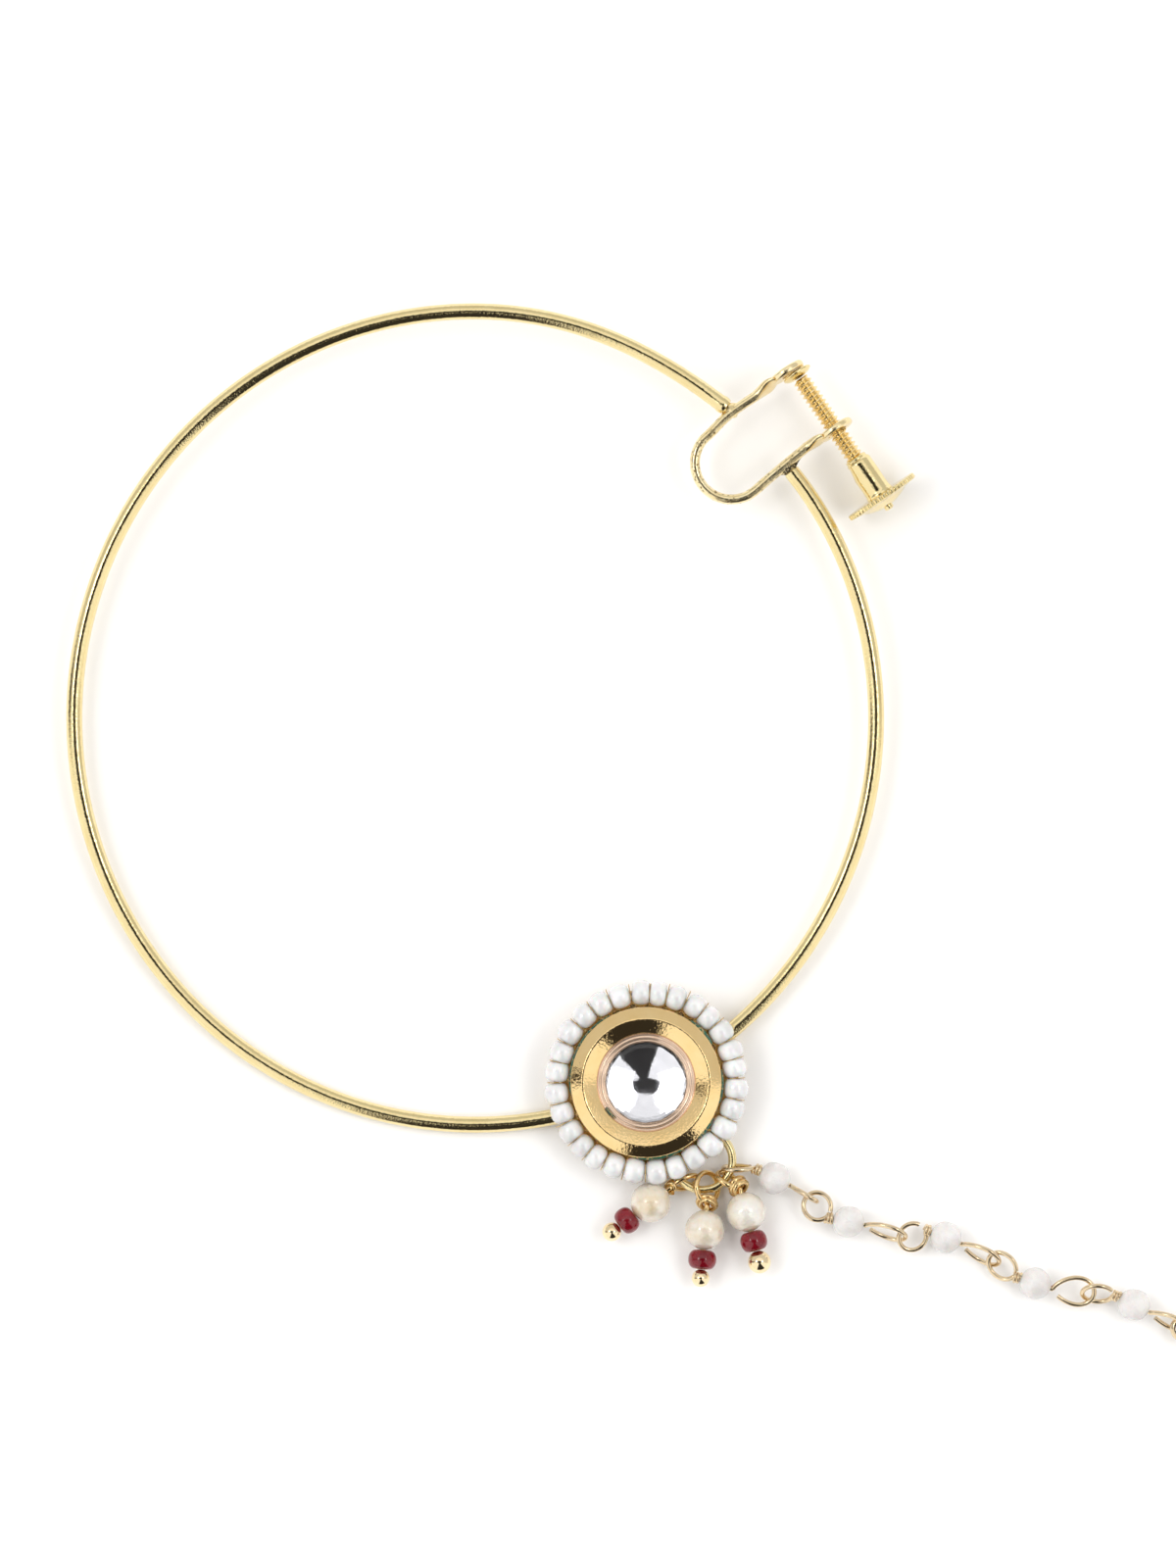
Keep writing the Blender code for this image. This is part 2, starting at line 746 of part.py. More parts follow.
# The origin is under the middle of the jewel, on the surface that it lies on
def settle_on_origin():
    bpy.context.view_layer.update()
    graph = bpy.context.evaluated_depsgraph_get()
    low = Vector((math.inf, math.inf, math.inf))
    high = -low
    for piece in jewel.objects:
        if piece.type == "EMPTY":
            continue
        solid = piece.evaluated_get(graph)
        mesh = solid.to_mesh()
        for vertex in mesh.vertices:
            spot = solid.matrix_world @ vertex.co
            low = Vector(map(min, low, spot))
            high = Vector(map(max, high, spot))
        solid.to_mesh_clear()
    middle = (low + high) / 2
    jewel_frame.location = (-middle.x, -middle.y, -low.z)


settle_on_origin()
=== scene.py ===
# %% [markdown]
# # A nose hoop with a screw clip, a glass setting, pearl drops and a pearl chain
#
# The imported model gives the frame: every solid, where it lies, and which body carries it. This
# script dresses those solids with finer ones and gives each its finish. Reading it from the top
# shows how one jewel is built in Blender from swept wires and turned forms.

# %% Load the frame
import math
import random

import bpy
from mathutils import Matrix, Vector


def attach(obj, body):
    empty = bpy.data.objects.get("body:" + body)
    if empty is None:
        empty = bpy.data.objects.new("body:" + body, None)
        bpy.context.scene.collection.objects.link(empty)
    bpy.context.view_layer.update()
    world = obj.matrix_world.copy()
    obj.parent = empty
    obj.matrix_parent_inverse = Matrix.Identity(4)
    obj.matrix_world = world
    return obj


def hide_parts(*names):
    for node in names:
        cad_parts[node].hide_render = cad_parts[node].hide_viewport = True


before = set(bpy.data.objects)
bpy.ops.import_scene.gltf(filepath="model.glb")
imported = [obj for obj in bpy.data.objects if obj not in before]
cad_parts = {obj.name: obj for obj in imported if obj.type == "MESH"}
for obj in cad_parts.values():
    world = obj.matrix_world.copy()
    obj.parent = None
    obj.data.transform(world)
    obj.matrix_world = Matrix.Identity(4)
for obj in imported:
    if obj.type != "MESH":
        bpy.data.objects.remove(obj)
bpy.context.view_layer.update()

# %% [markdown]
# ## Sizes
#
# A jeweller's sizes are in millimetres and Blender's are in metres, so every number below is in
# millimetres and MM turns it into metres at the last moment. They are the sizes that the solids
# were built with, so the fine pieces land on them. Only the thread's grooves are deeper here.

# %% Sizes of the jewel in millimetres
MM = 0.001
jewel_place = Vector((-16.149, 9.162, 0.005))
hoop_half_width, hoop_half_height, hoop_wire = 29.7, 30.15, 1.2
hoop_flat, hoop_flat_angle, hoop_flat_spread = 0.4, 56.0, 18.0
clip_angle, clip_turn, clip_spread, clip_depth, clip_reach = 38.9, -55.4, 5.4, 5.95, 4.5
thread_diameter, thread_pitch, thread_depth, thread_end = 1.4, 0.38, 0.22, 2.52
barrel_diameter, barrel_length = 2.0, 3.3
disc_diameter, disc_thickness = 5.8, 0.42
lean_direction = 78.6
setting_angle, setting_inset, setting_back = -64.4, 0.35, 0.3
ring_reach, ring_angle = 7.23, -54.6

# %% [markdown]
# ## Two planes
#
# The drops and the chain lie flat on the table. The hoop doesn't: it leans on the rim of its
# thumb disc, so it rises a little towards the clip. One matrix carries everything that is
# soldered to the hoop into that leaning plane, and another carries the loose pieces.

# %% Places and planes


def polar(radius, degrees):
    angle = math.radians(degrees)
    return Vector((radius * math.cos(angle), radius * math.sin(angle), 0.0))


def hoop_point(degrees):
    """Middle of the hoop's wire at an angle, with the flat spot next to the clip."""
    angle = math.radians(degrees)
    off = (degrees - hoop_flat_angle + 180.0) % 360.0 - 180.0
    inward = hoop_flat * math.exp(-((off / hoop_flat_spread) ** 2))
    return Vector(((hoop_half_width - inward) * math.cos(angle),
                   (hoop_half_height - inward) * math.sin(angle), 0.0))


across_clip = polar(1.0, clip_turn + 90.0)
screw_direction = polar(1.0, clip_turn)
lower_eye = hoop_point(clip_angle) + across_clip * clip_reach
disc_middle = lower_eye + screw_direction * (thread_end + barrel_length + disc_thickness / 2)
uphill = polar(1.0, lean_direction)
low_reach = math.hypot(hoop_half_width * uphill.x, hoop_half_height * uphill.y)
slope = (disc_diameter - hoop_wire) / 2 / (low_reach + disc_middle.dot(uphill))
middle_height = hoop_wire / 2 + slope * low_reach
table_plane = Matrix.Translation(jewel_place * MM)
lean = Matrix.Rotation(math.atan(slope), 4, Vector((uphill.y, -uphill.x, 0.0)))
hoop_plane = table_plane @ Matrix.Translation((0.0, 0.0, middle_height * MM)) @ lean
setting_middle = hoop_point(setting_angle) - polar(setting_inset, setting_angle)
ring_middle = setting_middle + polar(ring_reach, ring_angle)
print("the hoop leans by", round(math.degrees(math.atan(slope)), 2), "degrees")

# %% [markdown]
# ## Swept and turned forms
#
# Nearly every part of a jewel is either wire, bent along a path, or a form turned on an axis.
# Blender's curve bevels would sweep a wire too, but a small function of our own can change the
# wire's radius on the way, give it any section, and keep it from twisting. Turned forms are a
# ring of copies of one profile, which is what a lathe does.

# %% Build a mesh object


def build(name, vertices, faces, material, body, slot, place=None, sharp=38.0):
    """A smooth-shaded piece from vertices in millimetres, riding on one of the jewel's bodies."""
    spots = [Vector(v) * MM for v in vertices]
    if place is not None:
        spots = [place @ spot for spot in spots]
    mesh = bpy.data.meshes.new(name)
    mesh.from_pydata([tuple(spot) for spot in spots], [], faces)
    mesh.validate()
    mesh.shade_smooth()
    mesh.set_sharp_from_angle(angle=math.radians(sharp))
    mesh.materials.append(material)
    piece = bpy.data.objects.new(name, mesh)
    bpy.context.scene.collection.objects.link(piece)
    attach(piece, body)
    return piece


# %% [markdown]
# A sweep needs a direction "up" at every point of the path. Carrying the last one along and
# straightening it against the new tangent keeps the wire from spinning round itself.

# %% Sweep a section along a path


def tangents_of(points, closed):
    count = len(points)
    found = []
    for i in range(count):
        if closed:
            step = points[(i + 1) % count] - points[i - 1]
        else:
            step = points[min(i + 1, count - 1)] - points[max(i - 1, 0)]
        found.append(step.normalized())
    return found


def sweep_shape(points, radii, sides, closed=False, up=None, section=None):
    """Vertices and faces of a wire. A section gives each corner's (across, upward) in radii."""
    points = [Vector(p) for p in points]
    ahead = tangents_of(points, closed)
    normal = Vector(up) if up is not None else ahead[0].orthogonal()
    if section is None:
        section = [(math.cos(2 * math.pi * k / sides), math.sin(2 * math.pi * k / sides))
                   for k in range(sides)]
    vertices = []
    for point, radius, forward in zip(points, radii, ahead):
        if up is not None:
            normal = Vector(up)
        normal = (normal - forward * normal.dot(forward)).normalized()
        side = forward.cross(normal)
        for across, upward in section:
            vertices.append(point + (side * across + normal * upward) * radius)
    wide = len(section)
    rows = len(points)
    faces = []
    for i in range(rows if closed else rows - 1):
        for k in range(wide):
            a, b = i * wide + k, i * wide + (k + 1) % wide
            c, d = ((i + 1) % rows) * wide + (k + 1) % wide, ((i + 1) % rows) * wide + k
            faces.append((a, d, c, b))
    if not closed:
        faces.append(tuple(range(wide)))
        faces.append(tuple((rows - 1) * wide + k for k in reversed(range(wide))))
    return vertices, faces


def grid_faces(rows, wide):
    """Faces between rows of corners that each close on themselves."""
    faces = []
    for row in range(rows):
        for k in range(wide):
            a, b = row * wide + k, row * wide + (k + 1) % wide
            faces.append((a, b, b + wide, a + wide))
    return faces


def turned_shape(profile, steps, teeth=None):
    """Vertices and faces of a form turned about Z from (radius, height) pairs, first to last."""
    vertices = []
    rows = []
    for radius, height in profile:
        if radius < 1e-6:
            rows.append([len(vertices)] * steps)
            vertices.append(Vector((0.0, 0.0, height)))
            continue
        rows.append(list(range(len(vertices), len(vertices) + steps)))
        for k in range(steps):
            reach = radius if teeth is None else teeth(radius, height, k)
            vertices.append(polar(reach, 360.0 * k / steps) + Vector((0.0, 0.0, height)))
    faces = []
    for low, high in zip(rows, rows[1:]):
        for k in range(steps):
            corners = [low[k], high[k], high[(k + 1) % steps], low[(k + 1) % steps]]
            face = [c for j, c in enumerate(corners) if c not in corners[:j]]
            if len(face) > 2:
                faces.append(tuple(face))
    return vertices, faces


def aimed(spot, direction, plane):
    """Where a turned form goes when its own Z is to lie along a direction in a plane."""
    turn = Vector(direction).to_track_quat("Z", "Y").to_matrix().to_4x4()
    return plane @ Matrix.Translation(Vector(spot) * MM) @ turn


def joined(*shapes):
    """Several shapes as one list of vertices and one of faces."""
    vertices, faces = [], []
    for some_vertices, some_faces in shapes:
        start = len(vertices)
        vertices += some_vertices
        faces += [tuple(start + corner for corner in face) for face in some_faces]
    return vertices, faces


def moved(shape, matrix):
    vertices, faces = shape
    return [matrix @ Vector(v) for v in vertices], faces


def rounded(profile, size, steps=4):
    """A profile with each inner corner replaced by a small arc, as polishing leaves it."""
    soft = [profile[0]]
    for before, corner, after in zip(profile, profile[1:], profile[2:]):
        knot = Vector(corner)
        reach = min(size, (Vector(before) - knot).length * 0.45, (Vector(after) - knot).length * 0.45)
        start = knot + (Vector(before) - knot).normalized() * reach
        end = knot + (Vector(after) - knot).normalized() * reach
        for step in range(steps + 1):
            t = step / steps
            soft.append(tuple(start * (1 - t) ** 2 + knot * (2 * t * (1 - t)) + end * t ** 2))
    soft.append(profile[-1])
    return soft


print("helpers ready")

# %% [markdown]
# ## Effects shared by the finishes
#
# Plated brass is never a flat colour. The polishing wheel leaves fine lines, the plating has
# pits, and colour drifts a little from spot to spot. Each effect is one node group with its own
# named sockets, so that every metal uses the same effect with its own values.

# %% Node helpers


def add(tree, kind, **values):
    node = tree.nodes.new(kind)
    for key, value in values.items():
        setattr(node, key, value)
    return node


def new_group(name, inputs, outputs):
    """An empty shader group with named sockets, given as (name, kind, default)."""
    group = bpy.data.node_groups.new(name, "ShaderNodeTree")
    for label, kind, default in inputs:
        socket = group.interface.new_socket(label, in_out="INPUT", socket_type=kind)
        socket.default_value = default
    for label, kind in outputs:
        group.interface.new_socket(label, in_out="OUTPUT", socket_type=kind)
    return group, add(group, "NodeGroupInput"), add(group, "NodeGroupOutput")


def drifting_color():
    """Two colours that drift into each other over the surface, and the mask between them."""
    group, given, out = new_group(
        "drifting_color",
        [("Scale", "NodeSocketFloat", 900.0), ("Contrast", "NodeSocketFloat", 1.0),
         ("Main Color", "NodeSocketColor", (0.9, 0.75, 0.4, 1.0)),
         ("Second Color", "NodeSocketColor", (0.8, 0.6, 0.3, 1.0))],
        [("Color", "NodeSocketColor"), ("Mask", "NodeSocketFloat")])
    where = add(group, "ShaderNodeTexCoord")
    noise = add(group, "ShaderNodeTexNoise")
    noise.inputs["Detail"].default_value = 3.0
    centred = add(group, "ShaderNodeMath", operation="SUBTRACT")
    centred.inputs[1].default_value = 0.5
    scaled = add(group, "ShaderNodeMath", operation="MULTIPLY_ADD", use_clamp=True)
    scaled.inputs[2].default_value = 0.5
    mix = add(group, "ShaderNodeMix", data_type="RGBA")
    link = group.links.new
    link(where.outputs["Object"], noise.inputs["Vector"])
    link(given.outputs["Scale"], noise.inputs["Scale"])
    link(noise.outputs["Fac"], centred.inputs[0])
    link(centred.outputs[0], scaled.inputs[0])
    link(given.outputs["Contrast"], scaled.inputs[1])
    link(scaled.outputs[0], mix.inputs[0])
    link(given.outputs["Main Color"], mix.inputs[6])
    link(given.outputs["Second Color"], mix.inputs[7])
    link(mix.outputs[2], out.inputs["Color"])
    link(scaled.outputs[0], out.inputs["Mask"])
    return group


def pits():
    """Small pits where the plating is thin: a mask that is 1 in a pit."""
    group, given, out = new_group(
        "pits",
        [("Scale", "NodeSocketFloat", 4000.0), ("Amount", "NodeSocketFloat", 0.3)],
        [("Mask", "NodeSocketFloat")])
    where = add(group, "ShaderNodeTexCoord")
    noise = add(group, "ShaderNodeTexNoise")
    noise.inputs["Detail"].default_value = 2.0
    edge = add(group, "ShaderNodeMath", operation="SUBTRACT")
    edge.inputs[0].default_value = 0.75
    level = add(group, "ShaderNodeMapRange", interpolation_type="SMOOTHSTEP")
    upper = add(group, "ShaderNodeMath", operation="ADD")
    upper.inputs[1].default_value = 0.06
    link = group.links.new
    link(where.outputs["Object"], noise.inputs["Vector"])
    link(given.outputs["Scale"], noise.inputs["Scale"])
    link(given.outputs["Amount"], edge.inputs[1])
    link(edge.outputs[0], upper.inputs[0])
    link(noise.outputs["Fac"], level.inputs["Value"])
    link(edge.outputs[0], level.inputs["From Min"])
    link(upper.outputs[0], level.inputs["From Max"])
    link(level.outputs["Result"], out.inputs["Mask"])
    return group


def ripples():
    """The shallow unevenness that hand polishing leaves, as a height."""
    group, given, out = new_group(
        "ripples",
        [("Scale", "NodeSocketFloat", 1200.0), ("Fine Share", "NodeSocketFloat", 0.3)],
        [("Height", "NodeSocketFloat")])
    where = add(group, "ShaderNodeTexCoord")
    broad = add(group, "ShaderNodeTexNoise")
    broad.inputs["Detail"].default_value = 1.0
    fine = add(group, "ShaderNodeTexNoise")
    fine.inputs["Detail"].default_value = 2.0
    finer = add(group, "ShaderNodeMath", operation="MULTIPLY")
    finer.inputs[1].default_value = 5.0
    mix = add(group, "ShaderNodeMix", data_type="FLOAT")
    link = group.links.new
    for noise in (broad, fine):
        link(where.outputs["Object"], noise.inputs["Vector"])
    link(given.outputs["Scale"], broad.inputs["Scale"])
    link(given.outputs["Scale"], finer.inputs[0])
    link(finer.outputs[0], fine.inputs["Scale"])
    link(given.outputs["Fine Share"], mix.inputs[0])
    link(broad.outputs["Fac"], mix.inputs[2])
    link(fine.outputs["Fac"], mix.inputs[3])
    link(mix.outputs[0], out.inputs["Height"])
    return group


drift_group, pit_group, ripple_group = drifting_color(), pits(), ripples()
print("groups:", [g.name for g in bpy.data.node_groups])

# %% [markdown]
# ## Finishes
#
# Each finish is a Principled shader with the shared effects in front of it. Constants are set
# on the shader's own sockets. Only what changes over the surface is wired.

# %% Finish maker
pit_dulling, pit_depth = 0.25, 0.6


def finish_of(name, color, second, color_scale=900.0, contrast=1.5, rough=(0.1, 0.2),
              pit_scale=4000.0, pit_amount=0.0, pit_color=None, ripple_scale=1200.0,
              ripple_fine=0.3, ripple_height=0.004, **sockets):
    """A material whose colour drifts, with pits that darken and roughen it, and ripples."""
    material = bpy.data.materials.new(name)
    material.use_nodes = True
    tree = material.node_tree
    shader = tree.nodes["Principled BSDF"]
    link = tree.links.new
    drift = add(tree, "ShaderNodeGroup", node_tree=drift_group)
    drift.inputs["Scale"].default_value = color_scale
    drift.inputs["Contrast"].default_value = contrast
    drift.inputs["Main Color"].default_value = (*color, 1.0)
    drift.inputs["Second Color"].default_value = (*second, 1.0)
    last_color = drift.outputs["Color"]
    level = add(tree, "ShaderNodeMapRange")
    level.inputs["To Min"].default_value = rough[0]
    level.inputs["To Max"].default_value = rough[1]
    link(drift.outputs["Mask"], level.inputs["Value"])
    last_rough = level.outputs["Result"]
    ripple = add(tree, "ShaderNodeGroup", node_tree=ripple_group)
    ripple.inputs["Scale"].default_value = ripple_scale
    ripple.inputs["Fine Share"].default_value = ripple_fine
    last_height = ripple.outputs["Height"]
    if pit_color is not None:
        pit = add(tree, "ShaderNodeGroup", node_tree=pit_group)
        pit.inputs["Scale"].default_value = pit_scale
        pit.inputs["Amount"].default_value = pit_amount
        stain = add(tree, "ShaderNodeMix", data_type="RGBA")
        stain.inputs[7].default_value = (*pit_color, 1.0)
        link(pit.outputs["Mask"], stain.inputs[0])
        link(last_color, stain.inputs[6])
        last_color = stain.outputs[2]
        duller = add(tree, "ShaderNodeMath", operation="MULTIPLY_ADD", use_clamp=True)
        duller.inputs[1].default_value = pit_dulling
        link(pit.outputs["Mask"], duller.inputs[0])
        link(last_rough, duller.inputs[2])
        last_rough = duller.outputs[0]
        sunk = add(tree, "ShaderNodeMath", operation="MULTIPLY_ADD")
        sunk.inputs[1].default_value = -pit_depth
        link(pit.outputs["Mask"], sunk.inputs[0])
        link(last_height, sunk.inputs[2])
        last_height = sunk.outputs[0]
    bump = add(tree, "ShaderNodeBump")
    bump.inputs["Strength"].default_value = 1.0
    bump.inputs["Distance"].default_value = ripple_height * MM
    link(last_height, bump.inputs["Height"])
    link(last_color, shader.inputs["Base Color"])
    link(last_rough, shader.inputs["Roughness"])
    link(bump.outputs["Normal"], shader.inputs["Normal"])
    for key, value in sockets.items():
        shader.inputs[key.replace("_", " ")].default_value = value
    return material


# %% [markdown]
# Gold plate on brass is a pale yellow, a little paler than gold itself, and the drops' pins are
# of a redder alloy. The clip's arm has pits from bending and soldering.

# %% Metals
polished_gold = finish_of(
    "polished_gold", (0.90, 0.76, 0.42), (0.84, 0.68, 0.34), 700.0, 1.6, (0.06, 0.13),
    ripple_scale=1600.0, ripple_fine=0.7, ripple_height=0.016, Metallic=1.0)
band_gold = finish_of(
    "band_gold", (0.98, 0.73, 0.37), (0.95, 0.67, 0.30), 900.0, 1.8, (0.04, 0.09),
    ripple_scale=1100.0, ripple_fine=0.8, ripple_height=0.022, Metallic=1.0)
satin_gold = finish_of(
    "satin_gold", (0.95, 0.82, 0.51), (0.88, 0.69, 0.37), 900.0, 1.8, (0.18, 0.28),
    ripple_scale=1600.0, ripple_fine=0.7, ripple_height=0.012, Metallic=1.0)
pitted_gold = finish_of(
    "pitted_gold", (0.97, 0.85, 0.54), (0.90, 0.73, 0.40), 900.0, 2.2, (0.15, 0.26),
    5200.0, 0.15, (0.25, 0.17, 0.06), 2600.0, 0.5, 0.012, Metallic=1.0)
solder_grey = finish_of(
    "solder_grey", (0.90, 0.76, 0.46), (0.45, 0.38, 0.24), 2200.0, 3.0, (0.1, 0.3),
    7000.0, 0.3, (0.06, 0.05, 0.03), 3500.0, 0.6, 0.05, Metallic=1.0)
pin_gold = finish_of(
    "pin_gold", (0.90, 0.67, 0.34), (0.78, 0.53, 0.24), 1500.0, 1.8, (0.06, 0.15),
    ripple_scale=2200.0, ripple_height=0.006, Metallic=1.0)
ball_gold = finish_of(
    "ball_gold", (0.97, 0.83, 0.57), (0.93, 0.73, 0.42), 1100.0, 1.5, (0.04, 0.1),
    ripple_scale=1400.0, ripple_height=0.008, Metallic=1.0)
thread_gold = finish_of(
    "thread_gold", (0.95, 0.78, 0.46), (0.88, 0.68, 0.34), 1500.0, 1.8, (0.06, 0.15),
    ripple_scale=2200.0, ripple_height=0.006, Metallic=1.0)
chain_gold = finish_of(
    "chain_gold", (0.86, 0.71, 0.48), (0.70, 0.55, 0.36), 1300.0, 1.8, (0.08, 0.18),
    ripple_scale=2400.0, ripple_height=0.006, Metallic=1.0)
binding_gold = finish_of(
    "binding_gold", (0.70, 0.52, 0.26), (0.45, 0.30, 0.14), 2500.0, 2.0, (0.2, 0.35),
    ripple_scale=4000.0, ripple_height=0.004, Metallic=1.0)
silver_foil = finish_of(
    "silver_foil", (0.95, 0.95, 0.97), (0.86, 0.86, 0.89), 1300.0, 1.6, (0.05, 0.1),
    ripple_scale=800.0, ripple_fine=0.2, ripple_height=0.024, Metallic=1.0)
copper_foil = finish_of(
    "copper_foil", (0.88, 0.69, 0.54), (0.80, 0.56, 0.40), 1500.0, 1.6, (0.12, 0.25),
    ripple_scale=1800.0, ripple_fine=0.2, ripple_height=0.01, Metallic=0.8)
print("metals made")

# %% [markdown]
# Pearls and seed beads get their depth from light that enters and leaves again, and their gloss
# from a clear coat. Glass is a plain Transmission Weight of 1 with a glass IOR.

# %% Pearls, glass and enamel
seed_white = finish_of(
    "seed_white", (0.82, 0.825, 0.825), (0.63, 0.64, 0.64), 560.0, 2.6, (0.05, 0.14),
    ripple_scale=1500.0, ripple_height=0.05, Subsurface_Weight=0.3, IOR=1.9,
    Subsurface_Scale=0.0006, Coat_Weight=0.5, Coat_Roughness=0.05, Coat_IOR=1.8)
drop_cream = finish_of(
    "drop_cream", (0.76, 0.74, 0.69), (0.66, 0.54, 0.36), 460.0, 2.6, (0.1, 0.2),
    ripple_scale=1300.0, ripple_fine=0.5, ripple_height=0.1, Subsurface_Weight=0.25, IOR=2.1,
    Subsurface_Scale=0.0006, Coat_Weight=0.8, Coat_Roughness=0.05, Coat_IOR=1.9)
chain_blush = finish_of(
    "chain_blush", (0.78, 0.765, 0.75), (0.67, 0.64, 0.62), 700.0, 2.6, (0.06, 0.14),
    ripple_scale=2300.0, ripple_fine=0.4, ripple_height=0.16, IOR=2.0, Subsurface_Weight=0.25,
    Subsurface_Scale=0.0006, Coat_Weight=0.3, Coat_Roughness=0.08, Coat_IOR=1.9)
ruby = finish_of(
    "ruby", (0.36, 0.008, 0.022), (0.18, 0.003, 0.01), 900.0, 1.8, (0.03, 0.08),
    ripple_scale=1100.0, ripple_height=0.01, Transmission_Weight=0.5, IOR=1.48,
    Coat_Weight=0.2, Coat_Roughness=0.03)
clear_glass = finish_of(
    "clear_glass", (0.99, 0.99, 1.0), (0.98, 0.985, 1.0), 700.0, 1.0, (0.0, 0.01),
    ripple_scale=700.0, ripple_height=0.001, Transmission_Weight=1.0, IOR=1.5)
# Dark green enamel. It also paints the shade along the foot of the setting's outer band.
green_enamel_and_shade = finish_of(
    "green_enamel_and_shade", (0.012, 0.12, 0.07), (0.004, 0.03, 0.018), 1800.0, 2.5, (0.15, 0.35),
    5500.0, 0.22, (0.30, 0.22, 0.08), 2500.0, 0.4, 0.01, Coat_Weight=0.7, Coat_Roughness=0.08)
print("materials:", len(bpy.data.materials))

# %% [markdown]
# ## The hoop
#
# The real hoop is a round wire bent the long way round between the arms of its clip. Near the
# upper arm it thins into a solder neck behind a small ridge. The sweep carries a radius at every
# point, so neck and ridge are made by the radii alone.

# %% Hoop wire
hoop_trim = 0.68
hoop_mean = (hoop_half_width + hoop_half_height) / 2
hoop_lag = math.radians(clip_angle - clip_turn - 90.0)
hoop_start = clip_angle + math.degrees(
    math.asin(math.sin(hoop_lag) + clip_spread / hoop_mean) - hoop_lag)


def hoop_wire_shape():
    start, finish = hoop_start, clip_angle + 360.0
    trim = math.degrees(hoop_trim / hoop_mean)
    first, last = start + trim, finish - trim
    knots = [(start - 0.3, 0.42), (start + 0.5 * trim, 0.40), (first - 0.06, 0.43),
             (first, 0.60), (first + 0.35, 0.655), (first + 0.85, 0.66), (first + 1.15, 0.61)]
    steps = 300
    for step in range(4, steps - 1):
        knots.append((first + (last - first) * step / steps, hoop_wire / 2))
    knots += [(last, 0.60), (last + 0.05, 0.45), (last + 0.5 * trim, 0.44), (finish + 0.3, 0.44)]
    points = [hoop_point(angle) for angle, _ in knots]
    return sweep_shape(points, [size for _, size in knots], 28, up=(0.0, 0.0, 1.0))


hoop_piece = build("hoop_wire", *hoop_wire_shape(), polished_gold, "jewel", "pale_gold", hoop_plane)
print("hoop wire:", len(hoop_piece.data.polygons), "faces")

# %% [markdown]
# ## The clip
#
# The clip is a strip bent into a U, and its two ends are hammered into round eyes. The strip's
# section is a rectangle with round edges, swept along the U with its broad side upright. Each
# eye is a turned washer at the end of a paddle, where the strip was hammered thin and broad. The
# real clip is twisted a little, so the paddles turn and both eyes lean.

# %% Clip strip and eyes
strip_thickness, strip_width, strip_corners = 0.75, 1.25, 24
eye_diameter, eye_thickness = 2.8, 0.5
upper_shift, upper_offset = 0.15, 0.55
upper_flare, lower_flare, flare_overlap = 1.0, 1.9, 0.15
paddle_skin, paddle_thinning, paddle_swell = 0.02, 0.27, 0.9
eye_lean = math.radians(9.0)
eye_direction = screw_direction * math.cos(eye_lean) + Vector((0.0, 0.0, math.sin(eye_lean)))


def clip_spot(outward, along):
    return hoop_point(clip_angle) + across_clip * outward + screw_direction * along


def smooth_path(points, steps):
    """A Catmull-Rom curve through points."""
    path = []
    last = len(points) - 1
    for i in range(last):
        p0, p1, p2, p3 = points[max(i - 1, 0)], points[i], points[i + 1], points[min(i + 2, last)]
        for step in range(steps):
            t = step / steps
            path.append(0.5 * (2 * p1 + (p2 - p0) * t + (2 * p0 - 5 * p1 + 4 * p2 - p3) * t ** 2
                               + (3 * p1 - p0 - 3 * p2 + p3) * t ** 3))
    path.append(points[-1])
    return path


def strip_section(thick, wide):
    """Corners of a strip's section with round edges, in millimetres."""
    corners = []
    for k in range(strip_corners):
        turn = 2 * math.pi * k / strip_corners
        c, d = math.cos(turn), math.sin(turn)
        corners.append((math.copysign(abs(c) ** 0.75, c) * thick / 2,
                        math.copysign(abs(d) ** 0.75, d) * wide / 2))
    return corners


def strip_shape():
    bend = clip_spread / 2
    straight = clip_depth - bend
    spots = [clip_spot(upper_flare + flare_overlap, -clip_spread), clip_spot(-1.3, -clip_spread)]
    for step in range(10):
        turn = math.pi * step / 9
        spots.append(clip_spot(-straight - bend * math.sin(turn),
                               0.35 - bend - bend * math.cos(turn)))
    spots += [clip_spot(-1.3, 0.15), clip_spot(lower_flare + flare_overlap, -0.15)]
    path = smooth_path(spots, 8)
    sizes = [1.0 + 0.006 * math.sin(i * 0.9) for i in range(len(path))]
    return sweep_shape(path, sizes, strip_corners, up=(0.0, 0.0, 1.0),
                       section=strip_section(strip_thickness, strip_width))


def paddle_shape(start, end, twist):
    """Where the strip is hammered flat: it gets thinner and broader, and leans like the eye."""
    vertices = []
    steps, wide = 14, strip_corners
    for step in range(steps + 1):
        share = step / steps
        ease = share * share * (3 - 2 * share)
        angle = eye_lean * ease + math.radians(twist) * math.sin(math.pi * share)
        across = screw_direction * math.cos(angle) + Vector((0, 0, 1)) * math.sin(angle)
        upward = Vector((0, 0, 1)) * math.cos(angle) - screw_direction * math.sin(angle)
        middle = start.lerp(end, share)
        for x, z in strip_section(strip_thickness + paddle_skin - paddle_thinning * ease,
                                  strip_width + paddle_skin + paddle_swell * ease):
            vertices.append(middle + across * x + upward * z)
    faces = grid_faces(steps, wide)
    faces.append(tuple(reversed(range(wide))))
    faces.append(tuple(range(steps * wide, (steps + 1) * wide)))
    return vertices, faces


